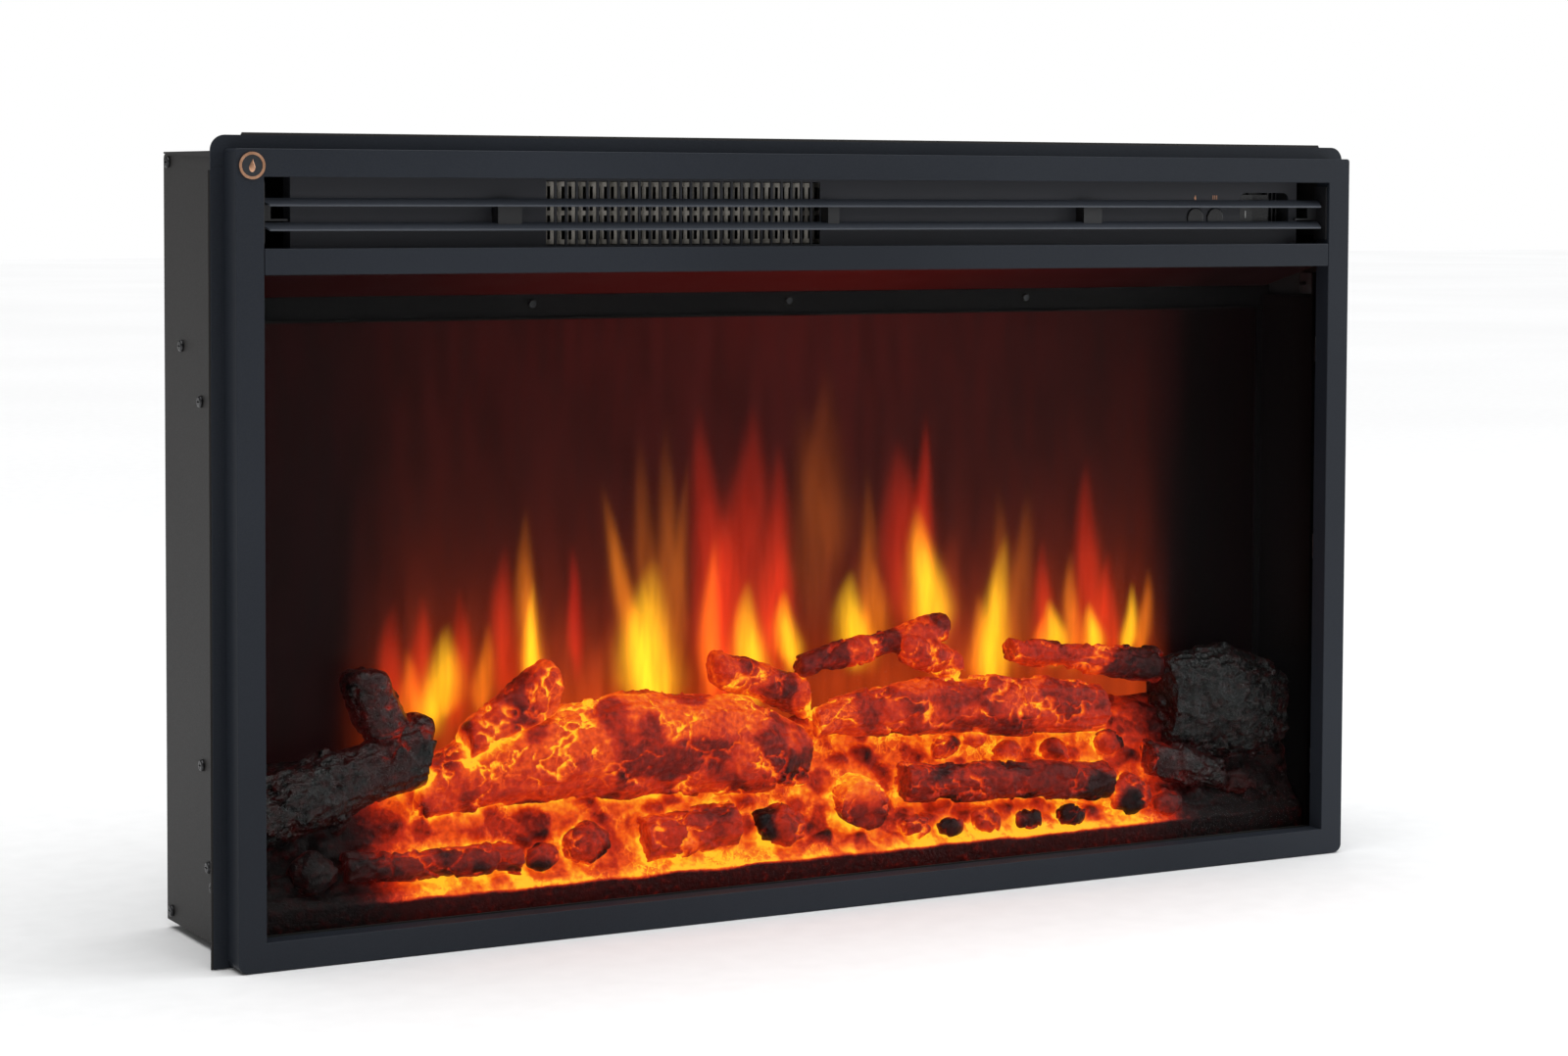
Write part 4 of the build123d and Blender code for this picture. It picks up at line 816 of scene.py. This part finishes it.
thick.thickness = bed_thickness
thick.offset = -1.0
bpy.ops.object.modifier_apply(modifier="thick")
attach(bed, "root")
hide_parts("ember_bed")
print("bed:", len(bed.data.polygons), "faces over a profile of", round(profile_length, 3), "m")

# %% [markdown]
# ## The round badge
# A copper ring with a small plain flame sits in the frame's upper left corner. The disc is a
# cylinder whose front face is inset and pushed back, which leaves a raised rim. The flame drop is
# a sphere flattened and drawn out to a tip.

# %% Badge
copper = mottled(
    "badge_copper", [(0.52, 0.27, 0.16), (0.68, 0.38, 0.24)], 0.004, 0.0004, 0.00001, (0.26, 0.38), 1.0)
enamel = mottled(
    "badge_enamel", [(0.012, 0.014, 0.018), (0.020, 0.023, 0.028)], 0.004, 0.0005, 0.00001, (0.30, 0.42))
badge_low, badge_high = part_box("badge")
badge_middle = (badge_low + badge_high) / 2
badge_radius = (badge_high.x - badge_low.x) / 2
badge_depth = badge_high.y - badge_low.y
rim_width = 0.0017
floor_depth = 0.0004
front_facing = -0.9
bpy.ops.object.select_all(action="DESELECT")
bpy.ops.mesh.primitive_cylinder_add(
    vertices=96, radius=badge_radius, depth=badge_depth, location=badge_middle, rotation=(math.pi / 2, 0, 0))
badge = bpy.context.object
badge.name = "badge_disc"
bpy.ops.object.transform_apply(location=True, rotation=True, scale=True)
bpy.ops.object.mode_set(mode="EDIT")
bpy.ops.mesh.select_mode(type="FACE")
bpy.ops.object.mode_set(mode="OBJECT")
for face in badge.data.polygons:
    face.select = face.normal.y < front_facing
bpy.ops.object.mode_set(mode="EDIT")
bpy.ops.mesh.inset(thickness=rim_width)
bpy.ops.mesh.extrude_region_move(TRANSFORM_OT_translate={"value": (0.0, floor_depth, 0.0)})
bpy.ops.object.mode_set(mode="OBJECT")
badge.data.materials.append(copper)
badge.data.materials.append(enamel)
for face in badge.data.polygons:
    from_middle = (Vector(face.center) - badge_middle).length
    if face.normal.y < front_facing and from_middle < badge_radius / 2:
        face.material_index = 1
bpy.ops.object.shade_smooth_by_angle(angle=math.radians(35))
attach(badge, "root")
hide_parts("badge")


def flame_drop(name, place, size, thickness, material):
    """A drop with its tip up, as a small relief that faces the room."""
    bpy.ops.object.select_all(action="DESELECT")
    bpy.ops.mesh.primitive_uv_sphere_add(segments=32, ring_count=24, radius=size, location=place)
    drop = bpy.context.object
    drop.name = name
    drop.scale = (0.62, thickness / size, 1.0)
    bpy.ops.object.transform_apply(location=True, rotation=True, scale=True)
    for vertex in drop.data.vertices:
        rise = (vertex.co.z - place.z) / size
        if rise > 0.0:
            vertex.co.x = place.x + (vertex.co.x - place.x) * (1.0 - 0.75 * rise) + 0.15 * size * rise * rise
            vertex.co.z = place.z + size * rise * 1.45
    bpy.ops.object.shade_smooth_by_angle(angle=math.radians(60))
    drop.data.materials.append(material)
    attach(drop, "root")


mark_place = Vector((badge_middle.x, badge_low.y + floor_depth, badge_middle.z - 0.0008))
flame_drop("badge_flame", mark_place, 0.0032, 0.0003, copper)
print("badge radius", round(badge_radius, 4), "rim", rim_width)

# %% [markdown]
# ## Small printed marks
# Over the two buttons are tiny printed signs in copper ink: a drop for the flames and three
# upright dashes for warm air. The rocker has one white line. Each is a thin raised piece.

# %% Button signs and the rocker's line
panel_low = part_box("control_panel")[0]
flame_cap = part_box("flame_button")
heater_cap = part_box("heater_button")
sign_rise = 0.0058
sign_z = flame_cap[1].z + sign_rise
ink = mottled(
    "icon_copper", [(0.55, 0.24, 0.12), (0.70, 0.34, 0.18)], 0.002, 0.0003, 0.00001, (0.40, 0.55))
white_ink = mottled(
    "mark_white", [(0.62, 0.62, 0.60), (0.75, 0.75, 0.73)], 0.002, 0.0003, 0.00001, (0.40, 0.55))
ink_thickness = 0.00012
flame_place = Vector(((flame_cap[0].x + flame_cap[1].x) / 2, panel_low.y, sign_z))
flame_drop("flame_sign", flame_place, 0.0014, ink_thickness, ink)


def dash(name, centre, size, material, body):
    """A short printed line with rounded ends."""
    bpy.ops.object.select_all(action="DESELECT")
    bpy.ops.mesh.primitive_cube_add(size=1.0, location=centre)
    made = bpy.context.object
    made.name = name
    made.scale = size
    bpy.ops.object.transform_apply(location=True, rotation=True, scale=True)
    rounding = made.modifiers.new("rounding", "BEVEL")
    rounding.width = min(size) * 0.45
    rounding.segments = 3
    bpy.ops.object.modifier_apply(modifier="rounding")
    made.data.materials.append(material)
    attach(made, body)


heat_x = (heater_cap[0].x + heater_cap[1].x) / 2
line_width = 0.0006
dash_spacing = 0.0016
dash_size = (line_width, ink_thickness, 0.0030)
for number in range(3):
    spot = (heat_x + (number - 1) * dash_spacing, panel_low.y - ink_thickness / 2, sign_z + 0.0004)
    dash(f"warm_air_sign_{number + 1}", spot, dash_size, ink, "root")
rocker_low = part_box("power_rocker")[0]
line_x = rocker_low.x + 0.0062
line_z = rocker_low.z + 0.0063
rocker_skin = node_tree_of(["power_rocker"])
line_y = rocker_skin.ray_cast(Vector((line_x, -1.0, line_z)), Vector((0.0, 1.0, 0.0)))[0].y
line_size = (line_width, ink_thickness, 0.0050)
dash("rocker_mark", (line_x, line_y, line_z), line_size, white_ink, "rocker_body")
print("signs at height", round(sign_z, 4), "rocker line at", round(line_x, 4), round(line_y, 4))

# %% [markdown]
# ## Embers as a lamp
# The glowing resin is left out of the lamp sampling, which would be slow for four hundred thousand
# small faces. One soft red lamp inside the firebox stands for its light on the walls and the frame.

# %% Firebox lamp
ember_lamp = lamp(
    "ember_lamp", (-0.02, -0.040, 0.150), (-0.02, -0.030, 0.400), size=0.55, power=0.07,
    colour=(1.0, 0.04, 0.01))
ember_lamp.data.shape = "RECTANGLE"
ember_lamp.data.size_y = 0.03
ember_lamp.visible_camera = False
print("ember lamp power", ember_lamp.data.energy)

# %% [markdown]
# ## The floor
# A plain pale floor lies just under the frame's lower edge. A slight unevenness keeps it from
# being a flat colour.

# %% Floor
floor_finish = mottled(
    "studio_floor", [(0.86, 0.86, 0.86), (0.90, 0.90, 0.90)], 1.5, 0.02, 0.00002, (0.75, 0.90), specular=0.1)
floor_width = 40.0
floor_drop = 0.0005
bpy.ops.object.select_all(action="DESELECT")
bpy.ops.mesh.primitive_plane_add(size=floor_width, location=(0.0, 0.0, cad_box[0].z - floor_drop))
floor = bpy.context.object
floor.name = "studio_floor"
floor.data.materials.append(floor_finish)
print("floor at", round(cad_box[0].z, 4))
